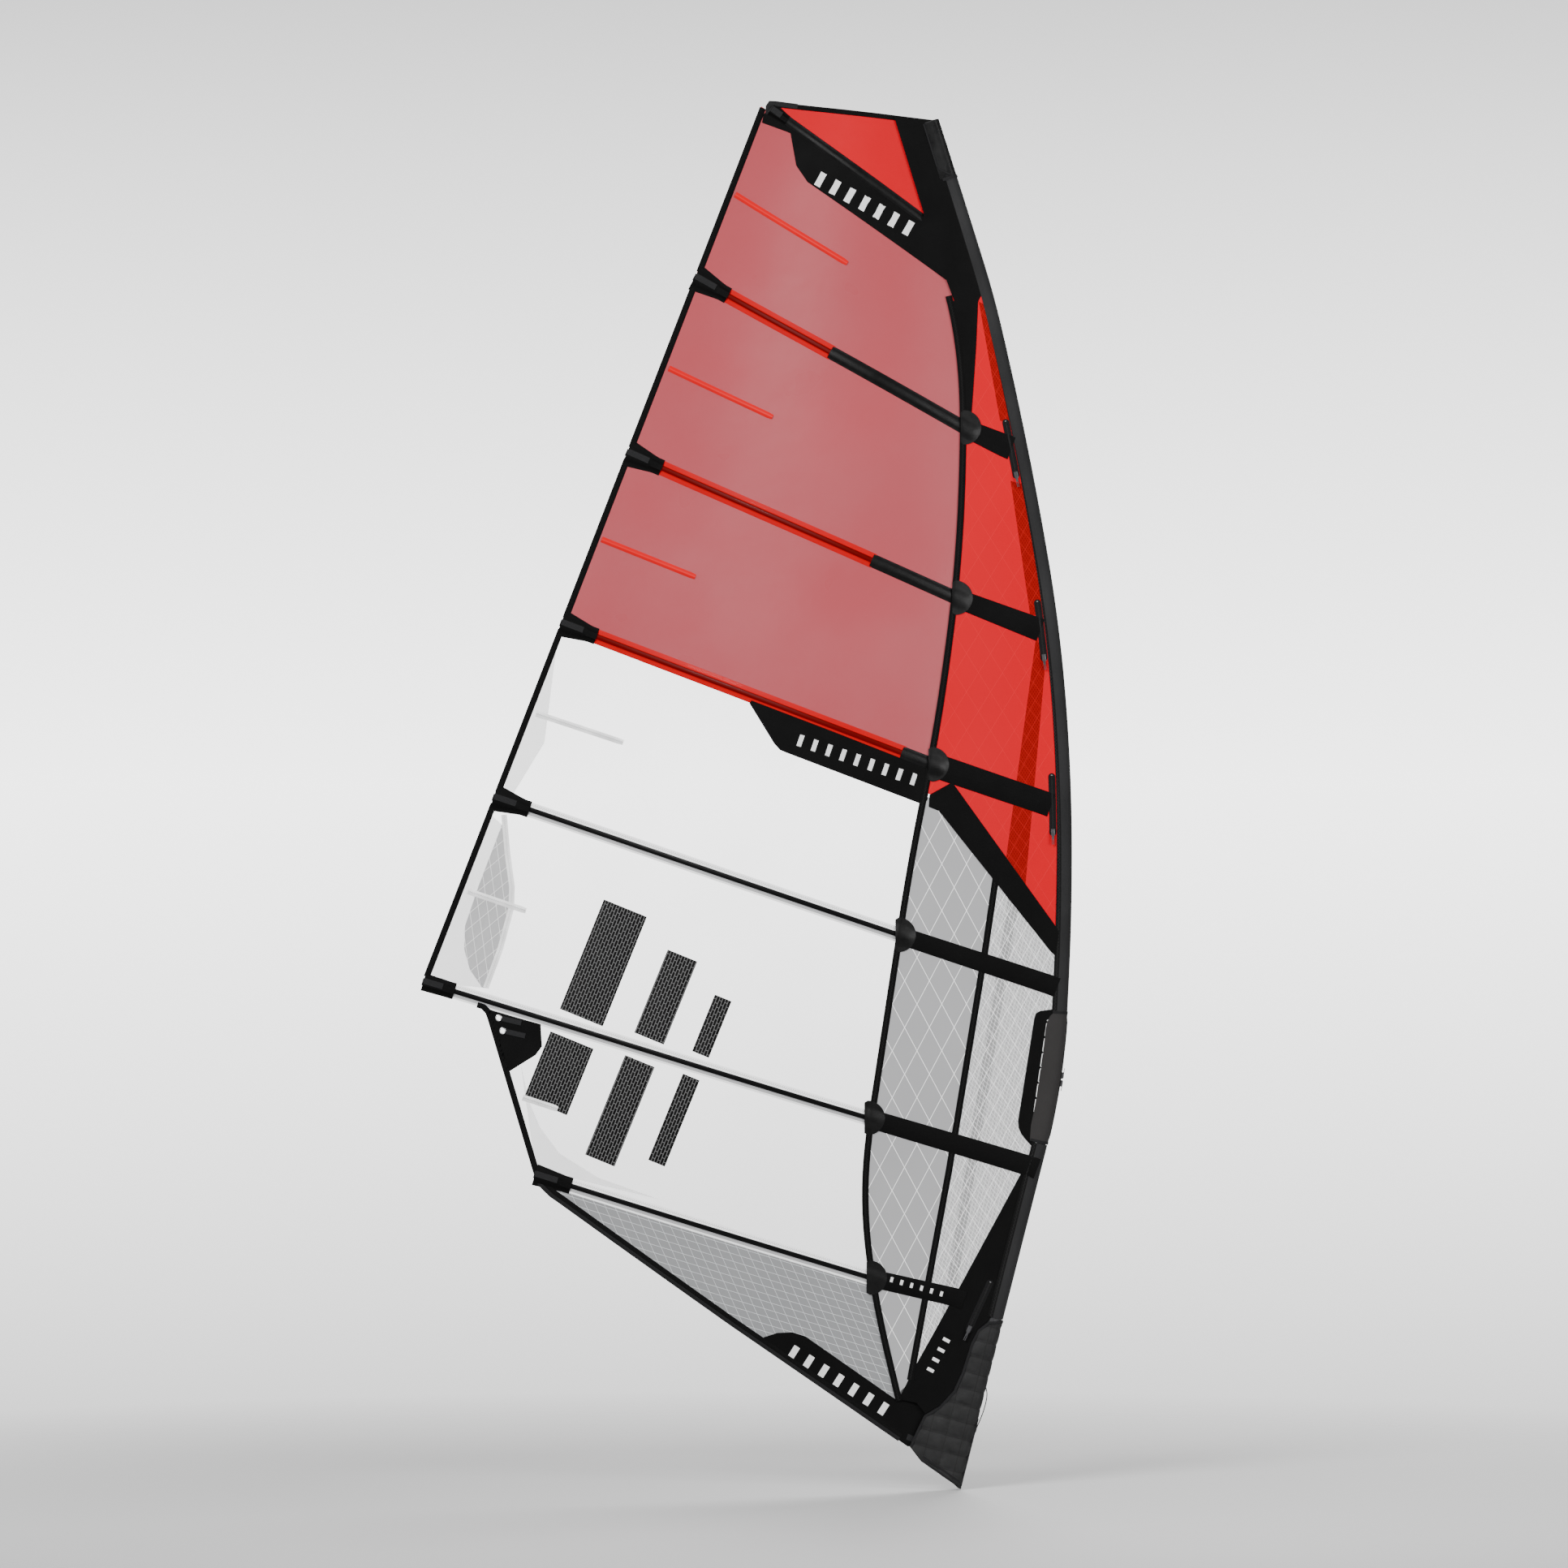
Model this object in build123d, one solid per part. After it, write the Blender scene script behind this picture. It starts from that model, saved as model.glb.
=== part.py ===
from build123d import *
import math
import os

# A windsurf race sail rigged on its bent two-piece mast, without a board or a boom.
# Millimetres, +Z up. The sail stands in the X-Z plane, with its luff towards +X and its leech towards -X.
# The origin is the centre of the mast's bottom mouth, and the port side faces -Y.

# Mast
MAST_BORE_R = 24.15
MAST_FOOT_R = 27.0
MAST_TIP_R = 9.5
MAST_TAPER_START_Z = 1000.0
MAST_WALL = MAST_FOOT_R - MAST_BORE_R
MAST_STRAIGHT = 825.0
MAST_SPLIT_Z = 1900.0
MAST_TIP_Z = 3890.0
FERRULE_HALF = 150.0
# Height of each station, and the mast's lean there in degrees, positive towards the luff side
MAST_LEAN = (
    (-300, 14.3), (820, 14.3), (1250, 3.2), (1700, 0.5), (2200, -4.4),
    (2600, -9.3), (3300, -12.9), (3500, -17.0), (4000, -17.6),
)

# Sail plan
LEECH_X0 = -2158.7
LEECH_SLOPE = 0.3873
DRAFT = 115.0
DRAFT_FOOT_Z = -200.0
DRAFT_PEAK_Z = 1200.0
DRAFT_HEAD_Z = 4350.0
TWIST = 40.0
SEAM = (
    (71, -204), (384, -279), (597, -305), (705, -312), (771, -310), (1697, -168), (2021, -102),
    (2285, -60), (2579, -25), (2900, -9), (3128, -9), (3265, -19), (3448, -60), (3600, -115), (3950, -230),
)
HEAD_AFT = (-599, 3986)
HEAD_FORE = (-74, 3928)
CLEW_EDGE = ((-1478, 1257), (-1456, 1243), (-1444, 1220), (-1302, 746))
FOOT_EDGE = ((-1302, 746), (-1277, 705), (-1226, 664), (-711, 296), (-251, -23), (-177, -74), (-136, -112))

# Battens: where each centreline crosses the seam, and how steeply it climbs towards the leech
BATTENS = {
    1: (-120, 3621, 36.0), 2: (-7, 3003, 29.2), 3: (-33, 2489, 23.9), 4: (-105, 1987, 20.9),
    5: (-205, 1474, 18.7), 6: (-298, 923, 16.9), 7: (-291, 439, 17.1),
}
BATTEN_END_X = {1: -590, 6: -1640, 7: -1302}
CAMMED = (2, 3, 4, 6, 7)
CAM_BACK_HALF = 12.0
BATTEN_WIDTH = 14.0
BATTEN_THICK = 6.0
BATTEN_GAP = 0.4
POCKET_WIDTH = 45.0
HEAD_POCKET_WIDTH = 34.0
POCKET_SKIN = 1.6
POCKET_SETBACK = 27.0
PLUG_LENGTH = 36.0
PLUG_TRAVEL = 20.0
PLUG_THICK = 4.8
PLUG_ROOM = 4.0
MINI_BATTENS = (
    ((-697, 3706), (-359, 3496)), ((-897, 3182), (-584, 3033)), ((-1100, 2666), (-817, 2552)),
    ((-1297, 2140), (-1035, 2053)), ((-1503, 1604), (-1329, 1545)), ((-1338, 982), (-1232, 948)),
)
MINI_WIDTH = 14.0

# Cloth
FILM = 1.5
SEAM_LAP = 20.0
SEAM_HALF = 4.2
LAYER_GAP = 0.1
LEECH_TAPE = 18.0
FOOT_TAPE = 25.0
FOOT_TAPE_END = (-205, -54.7)

# Luff sleeve
NOSE_R = 31.0
NOSE_TIP_R = 18.0
NOSE_TAPER_START_Z = 1500.0
NOSE_LEG = 17.0
SLEEVE_TOP_Z = 3758.0
HEAD_CAP_LEG = 34.0
HEAD_CAP_WALL = 2.5
CUTOUT_LOW_Z = 850.0
CUTOUT_HIGH_Z = 1238.0
PANEL_GAP = 1.5

# Zips
ZIP_SETBACK = 29.0
ZIP_WIDTH = 13.0
ZIP_THICK = 1.6
CAM_ZIPS = {2: (2849, 3028), 3: (2298, 2484), 4: (1771, 1960)}
TACK_ZIP = ((4, 274), (75, 431))
SLIDER = (12.0, 5.0, 20.0)
SLIDER_CLEARANCE = 1.4
BOOM_ZIP_Z = 1041.0
BOOM_ZIP_TRAVEL = 168.0
BOOM_ZIP_CLEARANCE = 2.6

# Tack gear
FAIRING_THICK = 3.0
FAIRING_AFT = 160.0
FAIRING_AFT_HALF = 7.0
FAIRING_EDGE = (
    (-170, -72), (-148, -23), (-126, 22), (-79, 51), (-38, 96),
    (-13, 151), (16, 242), (36, 281), (67, 306), (109, 308),
)
FAIRING_FOOT = ((20, -212), (-14, -203), (-23, -198), (-40, -182), (-136, -116))
SHEAVE_R = 11.0
SHEAVE_WIDTH = 6.0
SHEAVE_PITCH = 6.6
PIN_R = 3.0
RUNNING_GAP = 0.05
PULLEY_AFT = 68.0
PULLEY_DOWN = 95.0
CHEEK = 2.4
BUNGEE_D = 3.0
BUNGEE_SIDE = 9.0
# Bungee route as (height along the mast, distance ahead of its axis)
BUNGEE_ROUTE = ((124, 27), (109, 38), (80, 43), (44, 42), (14, 38), (-6, 34.5))

# Clew
EYELETS = ((-1411, 1222), (-1399, 1183))
EYELET_R = 10.5
EYELET_BORE_R = 6.75
EYELET_LENGTH = 8.0
CLEW_PATCH = ((-1466, 1246), (-1440, 1222), (-1373, 1066), (-1341, 1087), (-1292, 1134), (-1282, 1190))
CLEW_STRAP = (70.0, 16.0)


def between(value, stations):
    """Straight-line interpolation in a table of (value, result) pairs."""
    last = stations[-1][1]
    for (low, a), (high, b) in zip(stations, stations[1:]):
        if value <= high:
            return a + (b - a) * (value - low) / (high - low)
    return last


def lean(z):
    return between(z, MAST_LEAN)


def mast_line(step=10.0):
    """The mast's axis as (z, x) pairs, found by following its lean up and down from the mouth."""
    up, down = [(0.0, 0.0)], []
    while up[-1][0] < 4000:
        z, x = up[-1]
        up.append((z + step, x + step * math.tan(math.radians(lean(z + step / 2)))))
    z, x = 0.0, 0.0
    while z > -260:
        x -= step * math.tan(math.radians(lean(z - step / 2)))
        z -= step
        down.append((z, x))
    return down[::-1] + up


MAST_LINE = mast_line()


def mast_x(z):
    return between(z, MAST_LINE)


def mast_r(z):
    share = min(max((z - MAST_TAPER_START_Z) / (MAST_TIP_Z - MAST_TAPER_START_Z), 0), 1)
    return MAST_FOOT_R + (MAST_TIP_R - MAST_FOOT_R) * share


def nose_r(z):
    share = min(max((z - NOSE_TAPER_START_Z) / (HEAD_FORE[1] - NOSE_TAPER_START_Z), 0), 1)
    return NOSE_R + (NOSE_TIP_R - NOSE_R) * share


def leech_x(z):
    return LEECH_X0 + LEECH_SLOPE * z


def seam_x(z):
    return between(z, SEAM)


def soft_seam_x(z):
    """The seam with its corners rounded off."""
    return sum(seam_x(z + 40 * i) for i in range(-4, 5)) / 9


def camber(x, z):
    """The sail's mean surface: y at a point of its side view, fullest by the boom and twisted at the head."""
    chord = mast_x(z) - leech_x(z)
    t = min(max((mast_x(z) - x) / chord, 0), 1.1)
    if z < DRAFT_PEAK_Z:
        turn = max(z - DRAFT_FOOT_Z, 0) / (DRAFT_PEAK_Z - DRAFT_FOOT_Z)
        depth = DRAFT * math.sin(turn * math.pi / 2) ** 2
        twist = 0.0
    else:
        rise = (z - DRAFT_PEAK_Z) / (DRAFT_HEAD_Z - DRAFT_PEAK_Z)
        depth = DRAFT * (1 - rise * rise)
        twist = TWIST * rise * rise
    return -depth * 28.94 * t * t * (1 - t) ** 3 - twist * t * t


def sleeve_half(x, z):
    """Half the sleeve's inner width, from a thin seam to the round nose."""
    share = (x - soft_seam_x(z)) / (mast_x(z) - soft_seam_x(z))
    return SEAM_HALF + (nose_r(z) - 2 * FILM - 2 * LAYER_GAP - SEAM_HALF) * share


def mast_plane(z):
    """A plane across the mast: its X is to port, its Y is ahead, and its Z is up along the mast."""
    tilt = math.radians(lean(z))
    up = (math.sin(tilt), 0, math.cos(tilt))
    return Plane(origin=(mast_x(z), 0, z), x_dir=(0, -1, 0), z_dir=up)


def at_foot(along, ahead, side=0.0):
    """A point near the straight bottom of the mast: along its axis, ahead of it and to the side."""
    tilt = math.radians(MAST_LEAN[0][1])
    x = along * math.sin(tilt) + ahead * math.cos(tilt)
    z = along * math.cos(tilt) - ahead * math.sin(tilt)
    return x, side, z


def mean_face(aft, fore, y_at, low, high, across, upward):
    """A smooth face over the side view, from x = aft(z) to x = fore(z)."""
    rows = []
    for i in range(across + 1):
        column = []
        for j in range(upward + 1):
            z = low + (high - low) * j / upward
            x = aft(z) + (fore(z) - aft(z)) * i / across
            column.append(Vector(x, y_at(x, z), z))
        rows.append(column)
    return Face.make_surface_from_array_of_points(rows)


SAIL_FACE = mean_face(lambda z: leech_x(z) - 80, lambda z: mast_x(z) + 20, camber, -260, 4040, 12, 40)


def slab(y_low, y_high, face=SAIL_FACE):
    """The space between two copies of a face, y_low and y_high to its side."""
    return extrude(Pos(0, y_low, 0) * face, amount=y_high - y_low, dir=(0, 1, 0))


def outline(points):
    return make_face(Polyline(*[(x, 0, z) for x, z in points], close=True))


def prism(points, reach=400.0):
    """A side-view outline, given as (x, z) points, run through the sail from side to side."""
    return extrude(outline(points), amount=reach, both=True)


def beside(path, distance):
    """The path moved sideways, to the right of its direction in the side view when distance is positive."""
    moved = []
    for i, (x, z) in enumerate(path):
        x0, z0 = path[max(i - 1, 0)]
        x1, z1 = path[min(i + 1, len(path) - 1)]
        length = math.hypot(x1 - x0, z1 - z0)
        moved.append((x + (z1 - z0) / length * distance, z - (x1 - x0) / length * distance))
    return moved


def band(path, inner, outer):
    return prism(beside(path, inner) + beside(path, outer)[::-1])


def bar(start, end, width):
    """A straight strip in the side view, width across."""
    return prism(beside((start, end), width / 2) + beside((start, end), -width / 2)[::-1])


def batten_z(k, x, offset=0.0):
    seam, z, climb = BATTENS[k]
    tilt = math.radians(climb)
    return z + (seam - x) * math.tan(tilt) + offset / math.cos(tilt)


def batten_point(k, distance_from_leech):
    """A point on a batten's centreline, measured inward along it from its leech end."""
    seam, z, climb = BATTENS[k]
    tilt = math.radians(climb)
    if k in BATTEN_END_X:
        end_x = BATTEN_END_X[k]
    else:
        end_x = (LEECH_X0 + LEECH_SLOPE * (z + seam * math.tan(tilt))) / (1 + LEECH_SLOPE * math.tan(tilt))
    x = end_x + distance_from_leech * math.cos(tilt)
    return x, batten_z(k, x)


def batten_meets_mast(k):
    """Where a batten's centreline crosses the mast's axis."""
    z = BATTENS[k][1]
    for _ in range(30):
        z = batten_z(k, mast_x(z))
    return mast_x(z), z


def batten_near_mast(k, distance):
    """A point on a batten's centreline, this far aft of the mast's axis."""
    x, z = batten_meets_mast(k)
    tilt = math.radians(BATTENS[k][2])
    return x - distance * math.cos(tilt), z + distance * math.sin(tilt)


def batten_front(k):
    if k in CAMMED:
        return batten_near_mast(k, 62 + mast_r(BATTENS[k][1]))
    return batten_near_mast(k, 30 + nose_r(BATTENS[k][1]))


def pocket_width(k):
    return HEAD_POCKET_WIDTH if k == 1 else POCKET_WIDTH


def make_batten(k):
    start = batten_point(k, POCKET_SETBACK + PLUG_LENGTH + PLUG_TRAVEL + 2)
    return slab(-BATTEN_THICK / 2, BATTEN_THICK / 2) & bar(start, batten_front(k), BATTEN_WIDTH)


def make_channel(k, start, end):
    half = BATTEN_THICK / 2 + BATTEN_GAP
    return slab(-half, half) & bar(start, end, BATTEN_WIDTH + 2 * BATTEN_GAP)


def make_pocket(k):
    """A batten pocket: a padded band along the batten, open at the leech for the tensioner."""
    fore_x = BATTENS[k][0] + 30
    half = BATTEN_THICK / 2 + BATTEN_GAP + POCKET_SKIN
    start = batten_point(k, POCKET_SETBACK)
    body = slab(-half, half) & bar(start, (fore_x, batten_z(k, fore_x)), pocket_width(k))
    inside = make_channel(k, batten_point(k, 0), (fore_x + 40, batten_z(k, fore_x + 40)))
    plug_room = slab(-PLUG_ROOM, PLUG_ROOM) & bar(batten_point(k, 0), batten_point(k, 88), BATTEN_WIDTH + 3)
    return body - prism(sleeve_outline()) - inside - plug_room


def pocket_corridor(k):
    """The space a batten pocket and its tensioner take up near the leech, through every layer."""
    return bar(batten_point(k, -10), batten_point(k, 260), pocket_width(k) + 3)


def make_tensioner(k):
    """The screw-driven end plug of a batten, with its cap outside the leech."""
    plug_start = batten_point(k, 4)
    plug_end = batten_point(k, POCKET_SETBACK + PLUG_LENGTH)
    half = PLUG_THICK / 2
    plug = slab(-half, half) & bar(plug_start, plug_end, BATTEN_WIDTH - 1.4)
    cap = slab(-6, 6) & bar(batten_point(k, -2), batten_point(k, 5), 22)
    return plug + cap


def front_point(k, offset):
    """Where a pocket's edge meets the forward edge of the body panels, inside the sleeve."""
    x = BATTENS[k][0] + SEAM_LAP
    return x, batten_z(k, x, offset)


def leech_point(k, offset, inset):
    """Where a line beside a batten meets the leech."""
    x, z = batten_point(k, 0)
    for _ in range(30):
        x = leech_x(z) + inset
        z = batten_z(k, x, offset)
    return x, z


def seam_run(low, high, lap):
    """The seam's bends between two heights, from the top down, moved forward by the lap."""
    return [(x + lap, z) for z, x in SEAM[::-1] if low < z < high]


def panel_outline(k):
    """The body panel between battens k and k + 1."""
    above = -pocket_width(k) / 2 - 0.5
    below = pocket_width(k + 1) / 2 + 0.5
    top, bottom = front_point(k, above), front_point(k + 1, below)
    aft = [leech_point(k + 1, below, 2), leech_point(k, above, 2)]
    if k == 6:
        aft = [(-1290, batten_z(7, -1290, below))] + beside(CLEW_EDGE, -2)[:-1][::-1]
        aft[-1] = (-1470, batten_z(6, -1470, above))
    return aft + [top] + seam_run(bottom[1], top[1], SEAM_LAP) + [bottom]


def make_panel(k):
    panel = slab(-FILM / 2, FILM / 2) & prism(panel_outline(k))
    for centre in EYELETS if k == 6 else ():
        panel -= eyelet_hole(centre, EYELET_R + 0.3)
    return panel


def make_head_panel():
    """The stiff head, between the top batten and the head edge."""
    above = pocket_width(1) / 2 + 0.5
    fore_x = BATTENS[1][0] + SEAM_LAP
    head_slope = (HEAD_FORE[1] - HEAD_AFT[1]) / (HEAD_FORE[0] - HEAD_AFT[0])
    top = lambda x: HEAD_AFT[1] - 2 + head_slope * (x - HEAD_AFT[0])
    points = [
        (-560, top(-560)), (-165, top(-165)), (-135, 3800), (fore_x, batten_z(1, fore_x, above)),
        (-560, batten_z(1, -560, above)),
    ]
    return slab(-FILM / 2, FILM / 2) & prism(points)


def make_foot_panel():
    above = -pocket_width(7) / 2 - 0.5
    edge = beside(FOOT_EDGE, -2)
    points = [(-1270, batten_z(7, -1270, above)), front_point(7, above)]
    points += [(-184, 92), (-112, 62), (-97, 25), (-122, -72)] + edge[1:][::-1]
    return slab(-FILM / 2, FILM / 2) & prism(points)


def folded_tape(path, width):
    """Tape folded round an edge of the film. The film lies to the left of the path."""
    outer = slab(-FILM / 2 - 1.6, FILM / 2 + 1.6) & band(path, 0, -width)
    slot = slab(-FILM / 2 - LAYER_GAP, FILM / 2 + LAYER_GAP) & band(path, -1.8, -width - 5)
    return outer - slot


def make_leech_tape():
    """One run of tape between each two battens, down the leech."""
    runs = []
    for k in range(1, 6):
        above = -pocket_width(k) / 2 - 2
        below = pocket_width(k + 1) / 2 + 2
        runs.append(folded_tape((leech_point(k, above, 0), leech_point(k + 1, below, 0)), LEECH_TAPE))
    clew = folded_tape(CLEW_EDGE[1:3] + ((-1309, 770),), LEECH_TAPE) - pocket_corridor(6)
    for centre in EYELETS:
        clew -= eyelet_hole(centre, EYELET_R + 0.5)
    runs.append(clew)
    return Compound(children=[s for run in runs for s in run.solids()])


def make_foot_tape():
    """Tape along the foot, from the lowest batten to just short of the tack strap."""
    return folded_tape(FOOT_EDGE[1:5] + (FOOT_TAPE_END,), FOOT_TAPE) - pocket_corridor(7)


def eyelet_hole(centre, radius):
    x, z = centre
    return Pos(x, camber(x, z), z) * Rot(90, 0, 0) * Cylinder(radius, 60)


def make_clew_patch():
    """A reinforcement on both faces of the clew, with a hole for each eyelet."""
    low = FILM / 2 + LAYER_GAP
    patch = prism(CLEW_PATCH)
    skins = []
    for y_low, y_high in ((low, low + FILM), (-low - FILM, -low)):
        skin = slab(y_low, y_high) & patch
        skin -= band(CLEW_EDGE[:3] + ((-1340, 870),), 20, -LEECH_TAPE - 1)
        for centre in EYELETS:
            skin -= eyelet_hole(centre, EYELET_R + 0.3)
        skins += skin.solids()
    return Compound(children=skins)


def make_eyelets():
    """Two flanged steel rings through the clew."""
    rings = []
    for x, z in EYELETS:
        profile = [(EYELET_BORE_R, -EYELET_LENGTH / 2), (EYELET_R - 2, -EYELET_LENGTH / 2), (EYELET_R, -2.5),
                   (EYELET_R, 2.5), (EYELET_R - 2, EYELET_LENGTH / 2), (EYELET_BORE_R, EYELET_LENGTH / 2)]
        section = make_face(Polyline(*[(r, 0, h) for r, h in profile], close=True))
        ring = revolve(section, Axis.Z)
        rings.append(Pos(x, camber(x, z), z) * Rot(90, 0, 0) * ring)
    return Compound(children=rings)


def make_clew_straps():
    """A strap from each eyelet into the clew, sewn to both faces."""
    length, width = CLEW_STRAP
    tilt = math.radians(-13)
    low = FILM / 2 + 2 * LAYER_GAP + FILM
    straps = []
    for x, z in EYELETS:
        start = (x + (EYELET_R + 0.8) * math.cos(tilt), z + (EYELET_R + 0.8) * math.sin(tilt))
        end = (x + length * math.cos(tilt), z + length * math.sin(tilt))
        for y_low, y_high in ((low, low + FILM), (-low - FILM, -low)):
            straps += (slab(y_low, y_high) & bar(start, end, width)).solids()
    return Compound(children=straps)


def make_mini_battens():
    """Six short leech battens, on the port face."""
    low = -FILM / 2 - LAYER_GAP
    parts = []
    for start, end in MINI_BATTENS:
        parts += (slab(low - 3.2, low) & bar(start, end, MINI_WIDTH)).solids()
    return Compound(children=parts)


def stations(low, high, spacing=155.0):
    count = max(1, round((high - low) / spacing))
    return [low + (high - low) * i / count for i in range(count + 1)]


def mast_loft(low, high, radius, spacing=155.0):
    return loft([mast_plane(z) * Circle(radius(z)) for z in stations(low, high, spacing)], ruled=True)


def make_mast_bottom():
    """The lower mast half. Its bottom stretch is straight, with the bore that the extension slides into."""
    upward = (Align.CENTER, Align.CENTER, Align.MIN)
    bend_z = MAST_STRAIGHT * math.cos(math.radians(MAST_LEAN[0][1]))
    outer = mast_plane(0.0) * Cylinder(MAST_FOOT_R, MAST_STRAIGHT, align=upward)
    outer += mast_loft(bend_z, MAST_SPLIT_Z, mast_r)
    bore = mast_plane(0.0) * Cylinder(MAST_BORE_R, MAST_STRAIGHT, align=upward)
    return outer - (bore + mast_loft(bend_z, MAST_SPLIT_Z, lambda z: mast_r(z) - MAST_WALL))


def make_mast_top():
    inner = mast_loft(MAST_SPLIT_Z, MAST_TIP_Z, lambda z: mast_r(z) - MAST_WALL)
    return mast_loft(MAST_SPLIT_Z, MAST_TIP_Z, mast_r) - inner


def make_ferrule():
    """The sleeve inside the mast that joins its two halves."""
    ends = []
    for low in (MAST_SPLIT_Z - FERRULE_HALF, MAST_SPLIT_Z):
        high = low + FERRULE_HALF
        ends.append(mast_loft(low, high, lambda z: mast_r(z) - MAST_WALL - 0.5))
        ends[-1] -= mast_loft(low, high, lambda z: mast_r(z) - MAST_WALL - 3.0)
    return ends[0] + ends[1]


def make_tip_plug():
    """The moulded plug that closes the mast's tip."""
    plane = mast_plane(MAST_TIP_Z)
    head = Pos(0, 0, 3.1) * Cylinder(MAST_TIP_R + 0.5, 6)
    stem = Pos(0, 0, -15) * Cylinder(MAST_TIP_R - MAST_WALL - 0.6, 32)
    return plane * (head + stem)


def nose_section(z, leg, wall):
    """A U across the sleeve's nose, open aft."""
    outer = nose_r(z)
    inner = outer - wall
    edges = [
        Line((-outer, -leg), (-outer, 0)),
        ThreePointArc((-outer, 0), (0, outer), (outer, 0)),
        Line((outer, 0), (outer, -leg)),
        Line((outer, -leg), (inner, -leg)),
        Line((inner, -leg), (inner, 0)),
        ThreePointArc((inner, 0), (0, inner), (-inner, 0)),
        Line((-inner, 0), (-inner, -leg)),
        Line((-inner, -leg), (-outer, -leg)),
    ]
    return mast_plane(z) * make_face(edges)


def make_nose_panel(low, high):
    return loft([nose_section(z, NOSE_LEG, FILM) for z in stations(low, high)], ruled=True)


def make_head_cap():
    """The tough cap over the top of the sleeve, closed above the mast's tip."""
    low, high = SLEEVE_TOP_Z + PANEL_GAP + 2, HEAD_FORE[1] + 3
    walls = loft([nose_section(z, HEAD_CAP_LEG, HEAD_CAP_WALL) for z in stations(low, high, 60)], ruled=True)
    r = nose_r(high)
    lid = Circle(r) + Pos(0, -HEAD_CAP_LEG / 2) * Rectangle(2 * r, HEAD_CAP_LEG)
    return walls + extrude(mast_plane(high - 3.5) * lid, amount=3)


def sleeve_outline():
    """The side view of one sleeve face: the seam aft, the nose panel's lap forward, the fairing below."""
    aft = [(x, z) for z, x in SEAM if z < 3700] + [(-160, SLEEVE_TOP_Z - 30)]
    fore = [(mast_x(z) - 3, z) for z in stations(330, SLEEVE_TOP_Z)]
    fairing_side = beside(FAIRING_EDGE, -2.5)[2:]
    return aft + fore[::-1] + fairing_side[::-1][1:]


def make_sleeve_side(side):
    """One face of the luff sleeve; side is -1 to port and +1 to starboard."""
    skin_y = lambda x, z: camber(x, z) + side * sleeve_half(x, z)
    face = mean_face(lambda z: soft_seam_x(z) - 40, lambda z: mast_x(z) + 8, skin_y, -120, 3800, 8, 48)
    y_low, y_high = (0.0, FILM) if side > 0 else (-FILM, 0.0)
    return slab(y_low, y_high, face) & prism(sleeve_outline())


def side_face(side, lift):
    """A face lifted off the outside of the sleeve."""
    skin_y = lambda x, z: camber(x, z) + side * (sleeve_half(x, z) + FILM + lift)
    return mean_face(lambda z: soft_seam_x(z) - 40, lambda z: mast_x(z) + 8, skin_y, -120, 3800, 8, 48)


def zip_path(k):
    low, high = CAM_ZIPS[k]
    return [(mast_x(z) - ZIP_SETBACK, z) for z in (low, (low + high) / 2, high)]


def make_zip_tracks():
    """The toothed tapes of the three cam zips and the tack zip, on the sleeve's port face."""
    face = side_face(-1, LAYER_GAP)
    paths = [zip_path(k) for k in CAM_ZIPS] + [list(TACK_ZIP)]
    tracks = []
    for path in paths:
        tracks += (slab(-ZIP_THICK, 0, face) & band(path, -ZIP_WIDTH / 2, ZIP_WIDTH / 2)).solids()
    return Compound(children=tracks)


def slider_plane(path, side=-1):
    """A frame on a zip's lowest end: its Z is up along the zip's chord and its Y points out of the sleeve."""
    ends = []
    for x, z in (path[0], path[-1]):
        ends.append(Vector(x, camber(x, z) + side * (sleeve_half(x, z) + FILM + LAYER_GAP + ZIP_THICK), z))
    along = (ends[1] - ends[0]).normalized()
    return Plane(origin=ends[0], x_dir=Vector(0, side, 0).cross(along), z_dir=along)


def make_slider():
    """A zip slider at the origin of its own frame, with a forked pull hanging below it."""
    width, depth, length = SLIDER
    body = Pos(0, depth / 2 + SLIDER_CLEARANCE, length / 2 + 1) * Box(width, depth, length)
    body = fillet(body.edges().filter_by(Axis.Z), 1.5)
    tab = Pos(0, depth + SLIDER_CLEARANCE + 0.8, -8) * Box(7, 2.0, 36)
    fork = Pos(0, depth + SLIDER_CLEARANCE + 0.8, -20) * Box(2.6, 4, 20)
    return body + tab - fork


def make_cam_slider(path):
    return slider_plane(path) * make_slider()


def boom_zip_axis(way):
    """Unit vector along the front of the cutout, up (+1) or down (-1) from the zip's middle."""
    start, end = BOOM_ZIP_Z, BOOM_ZIP_Z + way * BOOM_ZIP_TRAVEL
    return Vector(mast_x(end) - mast_x(start), 0, end - start).normalized()


def make_boom_slider(way):
    """A slider on the front of the boom cutout's cover, just above or below its middle."""
    middle = (mast_x(BOOM_ZIP_Z), 0, BOOM_ZIP_Z)
    plane = Plane(origin=middle, x_dir=(0, -1, 0), z_dir=boom_zip_axis(way) * way)
    reach = nose_r(BOOM_ZIP_Z) + BOOM_ZIP_CLEARANCE
    width, depth, length = SLIDER
    body = Pos(0, reach + depth / 2, way * (length / 2 + 0.6)) * Box(width, depth, length)
    tab = Pos(0, reach + depth + 0.8, way * (length / 2 + 8)) * Box(7, 2, 30)
    return plane * (body + tab)


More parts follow.
